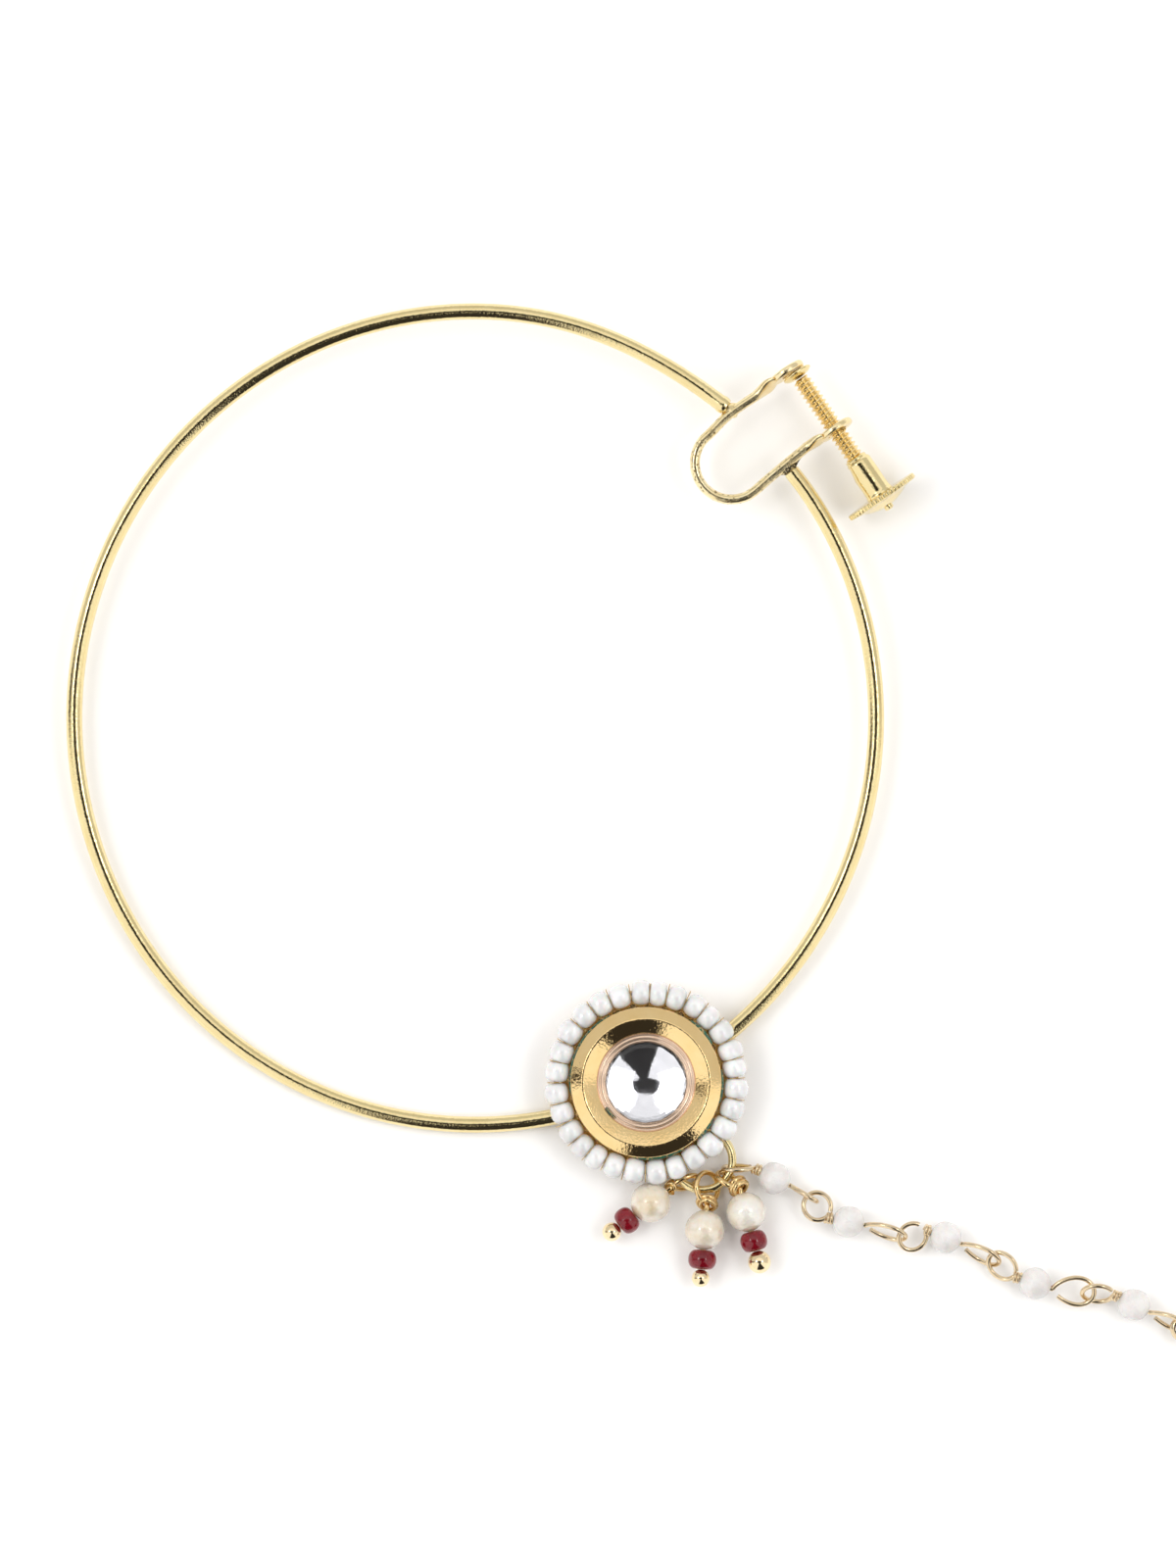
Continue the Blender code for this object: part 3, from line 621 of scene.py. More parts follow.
def eye_shape(bore, cup):
    """A washer with polished edges. A cup sinks the face that the pad presses on."""
    edge, outer, inner = eye_thickness / 2, eye_diameter / 2, bore / 2
    profile = [(inner, 0.0), (inner, edge), (inner + 0.12, edge + 0.02), (outer - 0.25, edge + cup),
               (outer - 0.1, edge + cup), (outer, edge - 0.12), (outer, 0.12 - edge),
               (outer - 0.12, -edge), (inner + 0.08, -edge), (inner, -edge + 0.08), (inner, 0.0)]
    return turned_shape(rounded(profile, 0.08), 56)


upper_eye = clip_spot(clip_reach - upper_offset, -clip_spread - upper_shift)
build("clip_strip", *strip_shape(), pitted_gold, "jewel", "pale_gold", hoop_plane)
paddle_end = clip_reach - eye_diameter / 2 + 0.35
build("clip_paddles", *joined(
    paddle_shape(clip_spot(upper_flare, -clip_spread),
                 clip_spot(paddle_end - upper_offset, -clip_spread - upper_shift), 20.0),
    paddle_shape(clip_spot(lower_flare, -0.15), clip_spot(paddle_end, -0.08), 12.0)),
    satin_gold, "jewel", "pale_gold", hoop_plane)
build("clip_upper_eye", *eye_shape(1.1, 0.03), satin_gold, "jewel", "pale_gold",
      aimed(upper_eye, eye_direction, hoop_plane))
build("clip_lower_eye", *eye_shape(thread_diameter + 0.18, 0.0), satin_gold, "jewel",
      "pale_gold", aimed(lower_eye, eye_direction, hoop_plane))


def solder_shape(spot, deep):
    """A blob of solder drawn out along the strip, thick at the wire and thin at its ends."""
    shares = [step / 8 for step in range(-8, 9)]
    points = [spot + across_clip * (1.15 * share) for share in shares]
    radii = [0.03 + deep * (1.0 - abs(share) ** 1.3) ** 1.6 for share in shares]
    return sweep_shape(points, radii, 20, up=(0.0, 0.0, 1.0))


solder_depth, upper_lift, lower_lift = 0.62, 0.22, 0.3
upper_joint = hoop_point(hoop_start) - screw_direction * upper_lift
lower_joint = hoop_point(clip_angle) + screw_direction * lower_lift
build("solder_upper", *solder_shape(upper_joint, solder_depth), pitted_gold, "jewel", "pale_gold",
      hoop_plane)
build("solder_lower", *solder_shape(lower_joint, solder_depth), solder_grey, "jewel", "pale_gold",
      hoop_plane)
print("clip made")

# %% [markdown]
# ## The screw
#
# A thread is a helix cut into a rod. Here the rod is a grid of points round and along the axis,
# and each point's radius depends on how far round the helix it is, so the groove climbs by one
# pitch for each turn. That needs no Boolean cut and shades cleanly.

# %% Threaded shaft
pad_diameter, pad_thickness, pad_gap = 2.3, 0.5, 0.1
pad_seat = -(clip_spread + upper_shift) + eye_thickness / 2 + pad_gap
thread_start = pad_seat + pad_thickness + pad_gap


def thread_shape():
    around, rows_per_turn = 40, 10
    rows = int((thread_end - thread_start) / thread_pitch * rows_per_turn)
    crest = thread_diameter / 2
    vertices = []
    for row in range(rows + 1):
        along = thread_start + (thread_end - thread_start) * row / rows
        fade = min(1.0, (along - thread_start) / 0.25)
        for k in range(around):
            phase = (along / thread_pitch - k / around) % 1.0
            wave = 0.5 + 0.5 * math.cos(2 * math.pi * phase)
            groove = thread_depth * (1.0 - wave ** 0.8)
            reach = (crest - groove) * (0.8 + 0.2 * fade)
            vertices.append(polar(reach, 360.0 * k / around) + Vector((0.0, 0.0, along)))
    faces = grid_faces(rows, around)
    faces.append(tuple(reversed(range(around))))
    return vertices, faces


screw_place = aimed(lower_eye, screw_direction, hoop_plane)
build("screw_thread", *thread_shape(), thread_gold, "screw", "pale_gold", screw_place)

# %% [markdown]
# The barrel joins the thread to the thumb disc. It has a waist behind a rolled shoulder, and a
# dent on one side from the tool that crimped it. The disc's rim is serrated for the fingers, and
# its back rises in a cone to a small nub.

# %% Barrel, thumb disc and pad


def barrel_shape():
    top = thread_end + barrel_length + disc_thickness / 2
    half = barrel_diameter / 2
    profile = [(0.0, thread_end - 0.05), (0.62, thread_end - 0.05), (0.80, thread_end + 0.02),
               (0.86, thread_end + 0.12), (0.82, thread_end + 0.22), (0.97, thread_end + 0.36),
               (half, thread_end + 0.5), (half, thread_end + 1.6), (half * 0.985, thread_end + 2.4),
               (half, top - 0.5), (half + 0.08, top - 0.3), (half + 0.02, top), (0.0, top)]
    dented = screw_place.to_3x3().inverted() @ (hoop_plane.to_3x3() @ -across_clip)
    dent_angle = math.atan2(dented.y, dented.x)
    dent_middle, dent_reach, dent_depth = 0.7, 0.35, 0.2
    around = 72

    def crimped(radius, height, k):
        off = math.cos(2 * math.pi * k / around - dent_angle)
        nearness = math.exp(-((height - thread_end - dent_middle) / dent_reach) ** 2)
        return radius * (1.0 - dent_depth * nearness * max(0.0, off) ** 4)

    return turned_shape(rounded(profile, 0.1), around, crimped)


def disc_shape():
    outer = disc_diameter / 2
    start = thread_end + barrel_length
    teeth_count, steps = 48, 384

    def serrated(radius, height, k):
        if radius < outer - 0.12:
            return radius
        wave = abs(math.sin(math.pi * teeth_count * k / steps))
        return radius - 0.09 * (1.0 - wave ** 0.7)

    cone = start + disc_thickness
    profile = [(0.0, start), (1.4, start), (2.35, start + 0.03), (2.62, start),
               (outer - 0.1, start), (outer, start + 0.07), (outer, cone - 0.07),
               (outer - 0.1, cone), (2.55, cone), (1.9, cone + 0.14), (1.4, cone + 0.36),
               (0.7, cone + 0.56), (0.36, cone + 0.6), (0.35, cone + 0.72), (0.35, cone + 0.82),
               (0.22, cone + 0.9), (0.0, cone + 0.9)]
    return turned_shape(profile, steps, serrated)


def pad_shape():
    half = pad_diameter / 2
    profile = [(0.0, pad_thickness), (0.62, pad_thickness), (0.9, pad_thickness * 0.84),
               (half, pad_thickness * 0.5), (half, pad_thickness * 0.25), (half * 0.8, 0.0),
               (0.0, 0.0)]
    return turned_shape(rounded(profile, 0.12), 48)


build("screw_barrel", *barrel_shape(), polished_gold, "screw", "pale_gold", screw_place)
build("screw_disc", *disc_shape(), polished_gold, "screw", "pale_gold", screw_place, 50.0)
build("swivel_pad", *pad_shape(), polished_gold, "pad", "pale_gold",
      aimed(lower_eye + screw_direction * pad_seat, eye_direction, hoop_plane))
print("screw and pad made")

# %% [markdown]
# ## The setting
#
# The setting is a turned cup. From outside it has a thin base plate, a wall, a sloping outer
# band that rises to a ridge, and an inner band that falls towards the stone. A thin line of
# green enamel runs round the foot of the outer band. It is drawn broader than the enamel alone,
# so that it also paints the shade along that foot. One profile, turned in many steps, gives
# the clean reflections that such polished bands have.

# %% Cup, enamel line with painted shade, and foil ring
setting_place = hoop_plane @ Matrix.Translation(
    (setting_middle + Vector((0.0, 0.0, setting_back))) * MM)


def cup_shape():
    profile = [(0.0, 0.8), (1.3, 0.8), (3.1, 1.7), (3.64, 1.96), (3.64, 2.18), (3.7, 2.25),
               (4.64, 2.72), (4.77, 2.72), (5.56, 2.22), (5.62, 2.1), (5.5, 1.96), (5.41, 0.32),
               (6.3, 0.3), (6.35, 0.25), (6.35, 0.05), (6.3, 0.0), (0.0, 0.0)]
    return turned_shape(rounded(profile, 0.06, 3), 180)


# Arcs of the enamel line as (start, stop, size). They are broader than the enamel alone and also
# paint the shade at the band's foot.
enamel_and_shade_arcs = ((118, 190, 0.1), (30, 54, 0.16), (-16, 10, 0.13), (-48, -28, 0.14), (-97, -60, 0.13))


def enamel_and_shade_shapes():
    """Short lines of enamel, thick in the middle, where the joint under the band has kept it.
    Drawn broader than the enamel alone, they also paint the shade along the band's foot.
    """
    shapes = []
    for start, stop, size in enamel_and_shade_arcs:
        angles = [start + (stop - start) * step / 30 for step in range(31)]
        points = [polar(5.64, angle) + Vector((0.0, 0.0, 2.02)) for angle in angles]
        radii = [size * (0.25 + 0.75 * math.sin(math.pi * step / 30) ** 0.5) for step in range(31)]
        shapes.append(sweep_shape(points, radii, 10))
    chip = [polar(3.5, angle) + Vector((0.0, 0.0, 2.1)) for angle in range(212, 231, 2)]
    shapes.append(sweep_shape(chip, [0.02, 0.07, 0.09, 0.1, 0.1, 0.09, 0.08, 0.06, 0.04, 0.02], 10))
    return joined(*shapes)


def lac_shape():
    profile = [(2.97, 1.88), (3.02, 2.0), (3.08, 2.04), (3.16, 1.99), (3.24, 2.05), (3.36, 2.07),
               (3.46, 2.01), (3.56, 2.04), (3.66, 2.18)]
    return turned_shape(rounded(profile, 0.05), 140)


build("setting_cup", *cup_shape(), band_gold, "jewel", "pale_gold", setting_place, 60.0)
# This line is partly real enamel and partly painted shade at the foot of the outer band.
build("enamel_and_shade_line", *enamel_and_shade_shapes(), green_enamel_and_shade, "jewel", "pale_gold", setting_place)
build("foil_ring", *lac_shape(), copper_foil, "jewel", "pale_gold", setting_place)
print("setting made")

# %% [markdown]
# ## The stone
#
# The stone is clear glass with a silvered back, cut with a table on top and a ring of facets.
# Its back is a shallow cone. Seen through the glass, the foil cone mirrors the room, and that
# is why such a stone shows white and dark wedges that meet in its middle.

# %% Glass and silvered cone
stone_place = hoop_plane @ Matrix.Translation(
    (setting_middle + Vector((0.0, 0.0, setting_back + 2.0))) * MM)


def stone_shape():
    """A wide table, two rows of low crown facets, a girdle and a shallow cone behind."""
    profile = [(0.0, 0.3), (2.6, 0.3), (2.84, 0.25), (2.99, 0.14), (2.99, -0.2), (2.0, -0.45),
               (1.0, -0.66), (0.0, -0.76)]
    corners, around = 16, 96

    def cut(radius, height, k):
        if height < 0.05:
            return radius
        off = (k + 0.5) % (around / corners) - around / corners / 2
        return radius * math.cos(math.pi / corners) / math.cos(2 * math.pi * off / around)

    return turned_shape(profile, around, cut)


def foil_shape():
    profile = [(0.0, -0.82)]
    height = -0.82
    for step in range(1, 13):
        radius = 0.25 * step
        height += 0.25 * math.tan(math.radians(min(14.0, 7.0 * (radius - 0.125))))
        profile.append((radius, height))
    profile += [(3.06, height + 0.02), (3.07, height + 0.12)]
    return turned_shape(profile, 128)


build("stone_glass", *stone_shape(), clear_glass, "jewel", "clear_stone", stone_place, 2.5)
build("stone_foil", *foil_shape(), silver_foil, "jewel", "clear_stone", stone_place)
print("stone made")

# %% [markdown]
# ## Seed beads
#
# Twenty-eight glass seed beads are threaded on a wire round the wall. No two are alike, so the
# measured place of each is kept in a list and its length and size vary a little. A thin binding
# wire goes over the string between each pair and holds it to the plate.

# %% Seed beads, their wire and the binding
bead_angles = (107.2, 93.2, 82.3, 70.5, 57.4, 46.0, 33.6, 20.5, 9.3, -4.1, -17.2, -30.6, -44.3,
               -57.9, -70.8, -83.5, -97.5, -111.0, -123.8, -135.0, -146.7, -159.9, -172.7,
               -186.7, -199.1, -213.0, -227.1, -240.0)
seed_ring_radius, seed_diameter, seed_height = 6.65, 1.95, 1.42
string_radius, binding_radius, ring_steps = 0.2, 0.038, 120
dice = random.Random(7)


def drilled_bead(diameter, length, bore, around, along, fullness):
    """A bead turned about Z: a rounded barrel with a drilled hole."""
    outer, inner = diameter / 2, bore / 2
    profile = []
    for step in range(along + 1):
        turn = math.pi * (step / along)
        reach = inner + (outer - inner) * math.sin(turn) ** fullness
        profile.append((reach, length / 2 * math.cos(turn)))
    profile += [(inner, -length / 4), (inner, length / 4), (inner, length / 2)]
    return turned_shape(profile, around)


def seed_shapes():
    shapes = []
    count = len(bead_angles)
    for k, angle in enumerate(bead_angles):
        before = bead_angles[k - 1] + (360.0 if k == 0 else 0.0)
        after = bead_angles[(k + 1) % count] - (360.0 if k == count - 1 else 0.0)
        gap = (abs(before - angle) + abs(angle - after)) / 4
        length = 2 * seed_ring_radius * math.sin(math.radians(gap)) * dice.uniform(0.97, 1.02)
        size = seed_diameter * dice.uniform(0.9, 1.02)
        bead = drilled_bead(size, min(length, 1.62), 0.55, 28, 16, dice.uniform(0.6, 0.74))
        spot = polar(seed_ring_radius * dice.uniform(0.993, 1.007), angle)
        spot.z = seed_height + dice.uniform(-0.03, 0.03)
        heading = polar(1.0, angle + 90.0 + dice.uniform(-4.0, 4.0))
        turn = heading.to_track_quat("Z", "Y").to_matrix().to_4x4()
        shapes.append(moved(bead, Matrix.Translation(spot) @ turn))
    return joined(*shapes)


def string_shape():
    middle = Vector((0, 0, seed_height))
    points = [middle + polar(seed_ring_radius, 360.0 / ring_steps * k) for k in range(ring_steps)]
    return sweep_shape(points, [string_radius] * ring_steps, 10, closed=True, up=(0, 0, 1))


def binding_shapes():
    shapes = []
    count = len(bead_angles)
    for k in range(count):
        after = bead_angles[(k + 1) % count] - (360.0 if k == count - 1 else 0.0)
        angle = (bead_angles[k] + after) / 2
        outward = polar(1.0, angle)
        reach = dice.uniform(0.6, 0.85)
        points = []
        for step in range(18):
            turn = math.radians(170.0 - 175.0 * step / 17)
            spot = outward * (seed_ring_radius + reach * math.cos(turn))
            spot.z = seed_height + 0.7 * math.sin(turn) ** 0.7 if step < 17 else seed_height
            points.append(spot)
        shapes.append(sweep_shape(points, [binding_radius] * len(points), 8))
    return joined(*shapes)


build("seed_beads", *seed_shapes(), seed_white, "jewel", "seed_pearl", setting_place, 70.0)
build("seed_wire", *string_shape(), binding_gold, "jewel", "pale_gold", setting_place)
build("binding_wires", *binding_shapes(), binding_gold, "jewel", "pale_gold", setting_place)
print("seed beads:", len(bead_angles))

# %% [markdown]
# ## The carrier ring
#
# One large jump ring is soldered under the setting's edge and carries the three drops and the
# chain.

# %% Carrier ring
carrier_radius, carrier_wire, carrier_height = 2.19, 0.62, 0.4


def ring_shape():
    middle = ring_middle + Vector((0, 0, carrier_height))
    points = [middle + polar(carrier_radius, 360.0 / ring_steps * k) for k in range(ring_steps)]
    return sweep_shape(points, [carrier_wire / 2] * ring_steps, 20, closed=True, up=(0, 0, 1))


build("carrier_ring", *ring_shape(), polished_gold, "jewel", "pale_gold", hoop_plane)
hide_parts("hoop")
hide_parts("clip_screw")
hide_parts("clip_pad")
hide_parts("setting_stone")
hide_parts("seed_bead_ring")
print("carrier ring made")

# %% [markdown]
# ## Drops
#
# Each drop is a pin with a ball at its end. A red glass bead and a pearl sit on it, and above
# them the wire makes a loop round the carrier ring and winds back round its own stem. A wire
# that is wound is a helix, so the wraps are swept along one.

# %% Loops and wraps
loop_gap_round, loop_gap_drop = 0.55, 0.95
bead_gap, hole_gap, loop_lead = 0.05, 0.06, 0.12
pin_wire, link_wire = 0.4, 0.36
loop_steps, coil_steps = 40, 20


def loop_points_of(base, heading, rise, length, width, roll, taper):
    """A wire loop from a base point: round for a taper of 0, drop-shaped for 1."""
    flat = polar(1.0, heading)
    climb = math.radians(rise)
    ahead = flat * math.cos(climb) + Vector((0.0, 0.0, math.sin(climb)))
    side = Vector((0.0, 0.0, 1.0)).cross(flat)
    above = ahead.cross(side)
    turn = math.radians(roll)
    across = side * math.cos(turn) + above * math.sin(turn)
    sweep = 2 * math.pi - loop_gap_round - (loop_gap_drop - loop_gap_round) * taper
    turns = [sweep * step / loop_steps for step in range(1, loop_steps + 1)]
    breadths = [math.sin(angle) * math.sin(angle / 2) ** taper for angle in turns]
    scale = width / 2 / max(breadths)
    return [base + ahead * (length * (1 - math.cos(angle)) / 2) + across * (breadth * scale)
            for angle, breadth in zip(turns, breadths)]


def coil_points_of(start, direction, length, radius, turns, phase, wobble):
    """A helix round a stem, with the small unevenness of hand winding."""
    direction = Vector(direction).normalized()
    one = direction.orthogonal().normalized()
    two = direction.cross(one)
    points = []
    count = int(turns * coil_steps)
    for step in range(count + 1):
        share = step / count
        angle = math.radians(phase) + 2 * math.pi * turns * share
        reach = radius * (1.0 + wobble * math.sin(angle * 0.53 + phase))
        points.append(start + direction * (length * share)
                      + (one * math.cos(angle) + two * math.sin(angle)) * reach)
    return points


# %% [markdown]
# The sizes and places of the drops come next, one row for each, in the order that the columns
# name. They are the same rows that placed the solids.

# %% Make the drops
drop_columns = ("x", "y", "heading", "pearl", "bead", "bead_length", "ball", "wrap_heading",
                "wrap_slope", "wrap", "wrap_size", "loop_heading", "loop_slope", "loop_length",
                "loop_width", "loop_roll", "loop_taper", "coils", "coil_wire")
drop_rows = (
    (-3.86, -3.10, 217, 3.00, 2.0, 1.42, 1.40, 34, -49, 0.25, 0.78, 15, -20, 2.1, 1.5, 58, 0.5,
     1.6, 0.30),
    (0.15, -5.14, 265, 2.95, 2.1, 1.45, 1.32, 78, -39, 0.35, 1.2, 92, -6, 2.2, 2.2, 43, 0.0,
     2.4, 0.30),
    (3.20, -3.82, 285, 2.95, 2.0, 1.50, 1.70, 133, -35, 0.40, 1.15, 147, -7, 1.65, 1.7, 66, 0.0,
     2.6, 0.36),
)
wrap_lead = 0.3
coil_swell, coil_spread, coil_wobble = 1.15, 0.66, 0.22


def pearl_shape(diameter, bore, lumps, seed):
    """A pearl drilled along Z. Lumps push its skin in and out by a share of its radius."""
    shape_dice = random.Random(seed)
    waves = [(shape_dice.randint(1, 3), shape_dice.randint(1, 3), shape_dice.uniform(0, 6.28))
             for _ in range(4)]
    around, rows = 44, 28
    mouth = math.asin(bore / diameter)
    vertices, faces = [], []
    for row in range(rows + 1):
        turn = mouth + (math.pi - 2 * mouth) * row / rows
        for k in range(around):
            angle = 2 * math.pi * k / around
            swell = sum(math.cos(a * angle + b * turn * 2 + c) for a, b, c in waves) / 4
            reach = diameter / 2 * (1.0 + lumps * swell * math.sin(turn))
            vertices.append(Vector((reach * math.sin(turn) * math.cos(angle),
                                    reach * math.sin(turn) * math.sin(angle),
                                    reach * math.cos(turn))))
    for row in range(rows):
        for k in range(around):
            a, b = row * around + k, row * around + (k + 1) % around
            faces.append((a, a + around, b + around, b))
    half = diameter / 2 * math.cos(mouth)
    bottom, inner = rows * around, len(vertices)
    for level in (half * 0.7, -half * 0.7):
        for k in range(around):
            spot = polar(bore / 2, 360.0 * k / around)
            vertices.append(spot + Vector((0, 0, level)))
    for k in range(around):
        after = (k + 1) % around
        faces.append((k, after, inner + after, inner + k))
        faces.append((inner + k, inner + after, inner + around + after, inner + around + k))
        faces.append((inner + around + k, inner + around + after, bottom + after, bottom + k))
    return vertices, faces


def ball_end(middle, ahead, size, wire):
    """Points and radii of the ball that is melted on the end of a pin."""
    root = math.asin(wire / size)
    points, radii = [], []
    for step in range(25):
        turn = root + (math.pi - root) * step / 24
        points.append(middle - ahead * (size / 2 * math.cos(turn)))
        radii.append(max(size / 2 * math.sin(turn), 0.02))
    return points, radii


def make_drop(number, row):
    value = dict(zip(drop_columns, row))
    name = f"drop_{number}_"
    ahead = polar(1.0, value["heading"])
    pearl = value["pearl"]
    middle = ring_middle + Vector((value["x"], value["y"], pearl / 2))
    bore = pin_wire + 2 * hole_gap
    pole = math.sqrt(pearl ** 2 - bore ** 2) / 2
    size, length = value["bead"], value["bead_length"]
    reach = length / 2 * math.sqrt(1 - (bore / size) ** 2)
    red_spot = middle + ahead * (pole + bead_gap + reach)
    place = aimed(middle, ahead, table_plane)
    pearl_piece = build(name + "cream_pearl", *pearl_shape(pearl, bore, 0.012, 20 + number),
                        drop_cream, "jewel", "drop_pearl", place)
    red_piece = build(name + "red_bead", *drilled_bead(size, length, bore, 40, 28, 0.62),
                      ruby, "jewel", "ruby_glass", aimed(red_spot, ahead, table_plane), 70.0)
    lift = math.radians(value["wrap_slope"])
    back = polar(math.cos(lift), value["wrap_heading"]) + Vector((0.0, 0.0, math.sin(lift)))
    wrap_end = middle - ahead * (pole + bead_gap + wrap_lead)
    base = wrap_end + back * value["wrap"]
    loop = loop_points_of(base, value["loop_heading"], value["loop_slope"], value["loop_length"],
                          value["loop_width"], value["loop_roll"], value["loop_taper"])
    stem = smooth_path([loop[0], base, wrap_end, middle - ahead * (pole + 0.02),
                        middle, red_spot, red_spot + ahead * (reach + 0.02)], 6)
    path = loop[::-1] + stem[1:]
    wire = sweep_shape(path, [pin_wire / 2] * len(path), 16)
    ball = value["ball"]
    root = math.asin(pin_wire / ball)
    ball_middle = red_spot + ahead * (reach + bead_gap + ball / 2 * math.cos(root))
    points, radii = ball_end(ball_middle, ahead, ball, pin_wire)
    build(name + "ball", *sweep_shape(points, radii, 32), ball_gold, "jewel", "wire_gold",
          table_plane)
    coil_wire = value["coil_wire"] * coil_swell
    coil_radius = value["wrap_size"] * coil_spread - coil_wire / 2
    coil = coil_points_of(base + back * 0.1, -back, value["wrap"] + 0.15, coil_radius,
                          value["coils"], 40.0 * number, coil_wobble)
    wound = sweep_shape(coil, [coil_wire / 2] * len(coil), 12)
    pin_piece = build(name + "wire", *joined(wire, wound), pin_gold, "jewel", "wire_gold",
                      table_plane)
    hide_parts(name + "pearl")
    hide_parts(name + "bead")
    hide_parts(name + "pin")


for number, row in enumerate(drop_rows, 1):
    make_drop(number, row)
print("drops made:", len(drop_rows))

# %% [markdown]
# ## Chain
#
# The chain runs from the carrier ring to the hair. Each unit is a pearl on a wire that ends in
# a loop on either side, and the loop towards the carrier ring is wound shut at the pearl's hole.
# The pearls are a little lumpy, as cultured seed pearls are.

# %% Make the chain
chain_columns = ("x", "y", "heading", "pearl", "a_heading", "a_slope", "a_length", "a_width",
                 "a_roll", "a_taper", "b_heading", "b_slope", "b_length", "b_width", "b_roll",
                 "b_taper")
chain_rows = (
    (5.33, -1.31, -26, 2.36, 180, -6, 2.3, 1.54, 79, 0.6, -31, 0, 2.25, 1.7, 88, 0.8),
    (10.80, -4.55, -11, 2.36, 128, 0, 2.1, 2.0, 4, 0.0, -17, 3, 3.05, 1.8, 62, 0.5),
    (18.01, -5.72, -22, 2.36, 213, 0, 2.1, 2.0, -15, 0.0, -27, 0, 3.03, 1.9, 60, 0.6),
    (24.66, -9.12, -18, 2.36, 137, 1, 2.3, 1.9, -26, 0.0, -5, 2, 3.1, 2.1, 17, 0.5),
    (31.96, -10.69, -26, 2.40, 177, 1, 2.3, 1.9, -51, 0.0, -24, 0, 2.9, 1.7, 60, 0.8),
)
link_wrap, wrap_diameter = 0.5, 0.92
link_coil_wire, link_coils, link_wobble = 0.26, 2.1, 0.08


def loop_by(value, prefix, base):
    keys = ("heading", "slope", "length", "width", "roll", "taper")
    return loop_points_of(base, *(value[f"{prefix}_{key}"] for key in keys))


def make_chain_unit(number, row):
    value = dict(zip(chain_columns, row))
    pearl = value["pearl"]
    ahead = polar(1.0, value["heading"])
    middle = ring_middle + Vector((value["x"], value["y"], pearl / 2))
    bore = link_wire + 2 * hole_gap
    pole = math.sqrt(pearl ** 2 - bore ** 2) / 2
    base_a = middle - ahead * (pole + bead_gap + link_wrap)
    base_b = middle + ahead * (pole + bead_gap + loop_lead)
    loop_a, loop_b = loop_by(value, "a", base_a), loop_by(value, "b", base_b)
    path = loop_a[::-1] + smooth_path([base_a, middle, base_b], 4) + loop_b
    wire = sweep_shape(path, [link_wire / 2] * len(path), 14)
    coil = coil_points_of(base_a, ahead, link_wrap, wrap_diameter / 2 - link_coil_wire / 2,
                          link_coils, 70.0 * number, link_wobble)
    wound = sweep_shape(coil, [link_coil_wire / 2] * len(coil), 10)
    pearl_piece = build(f"chain_{number}_blush_pearl", *pearl_shape(pearl, bore, 0.05, 40 + number),
                        chain_blush, "jewel", "chain_pearl", aimed(middle, ahead, table_plane))
    link_piece = build(f"chain_{number}_wire", *joined(wire, wound), chain_gold, "jewel",
                       "chain_gold", table_plane)
    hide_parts(f"chain_{number}_pearl")
    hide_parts(f"chain_{number}_link")
    return base_b, value


for number, row in enumerate(chain_rows, 1):
    last_base, last_value = make_chain_unit(number, row)
print("chain units made:", len(chain_rows))

# %% [markdown]
# ## Hair hook
#
# The chain ends in a plain bent wire that slides into the hair.

# %% Make the hook
hook_wire, hook_eye, hook_length, hook_width = 0.7, 2.2, 9.0, 3.0
hook_overlap, hook_return = 0.85, 4.5


def hook_path():
    ahead = polar(1.0, last_value["b_heading"])
    side = Vector((0.0, 0.0, 1.0)).cross(ahead)
    tip = last_base + ahead * last_value["b_length"]
    reach = hook_eye / 2 - hook_wire / 2
    middle = tip + ahead * (reach - hook_overlap)
    middle.z = last_base.z
    points = []
    for step in range(37):
        turn = math.radians(18.0 + 300.0 * (1 - step / 36))
        points.append(middle + (ahead * math.cos(turn) - side * math.sin(turn)) * reach)
    far = middle + ahead * (reach + hook_length - hook_width / 2)
    points += smooth_path([middle + ahead * (reach + 1.0), (middle + far) / 2 + ahead * 0.6, far], 8)
    for step in range(1, 25):
        turn = math.pi * step / 24
        points.append(far + ahead * (hook_width / 2 * math.sin(turn))
                      + side * (hook_width / 2 * (1 - math.cos(turn))))
    points.append(far + side * hook_width - ahead * hook_return)
    return points


hook_points = hook_path()
hook_piece = build("hair_hook", *sweep_shape(hook_points, [hook_wire / 2] * len(hook_points), 16),
                   chain_gold, "jewel", "chain_gold", table_plane)
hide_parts("chain_hook")
print("hook made")

# %% [markdown]
# ## Floor, light and camera
#
# The jewel lies on a white sheet inside a light tent. The tent is the world: bright all round,
# with a dark hole overhead where the camera looks in, and a dark opening at the front. Polished
# gold and glass show those dark places as the dark lines and wedges of a studio photograph. Two
# large lamps light the sheet from the sides without showing in the gold, and two small ones,
# nearer overhead, give each pearl its pair of highlights.

# %% Floor
floor_mesh = bpy.data.meshes.new("white_sheet")
floor_mesh.from_pydata([(-1.5, -1.5, 0.0), (1.5, -1.5, 0.0), (1.5, 1.5, 0.0), (-1.5, 1.5, 0.0)],
                       [], [(0, 1, 2, 3)])
floor = bpy.data.objects.new("white_sheet", floor_mesh)
bpy.context.scene.collection.objects.link(floor)
floor_mesh.materials.append(finish_of(
    "sheet_white", (0.97, 0.962, 0.952), (0.955, 0.945, 0.935), 12.0, 0.8, (0.6, 0.7),
    ripple_scale=60.0, ripple_height=0.05, Specular_IOR_Level=0.2))
print("floor made")

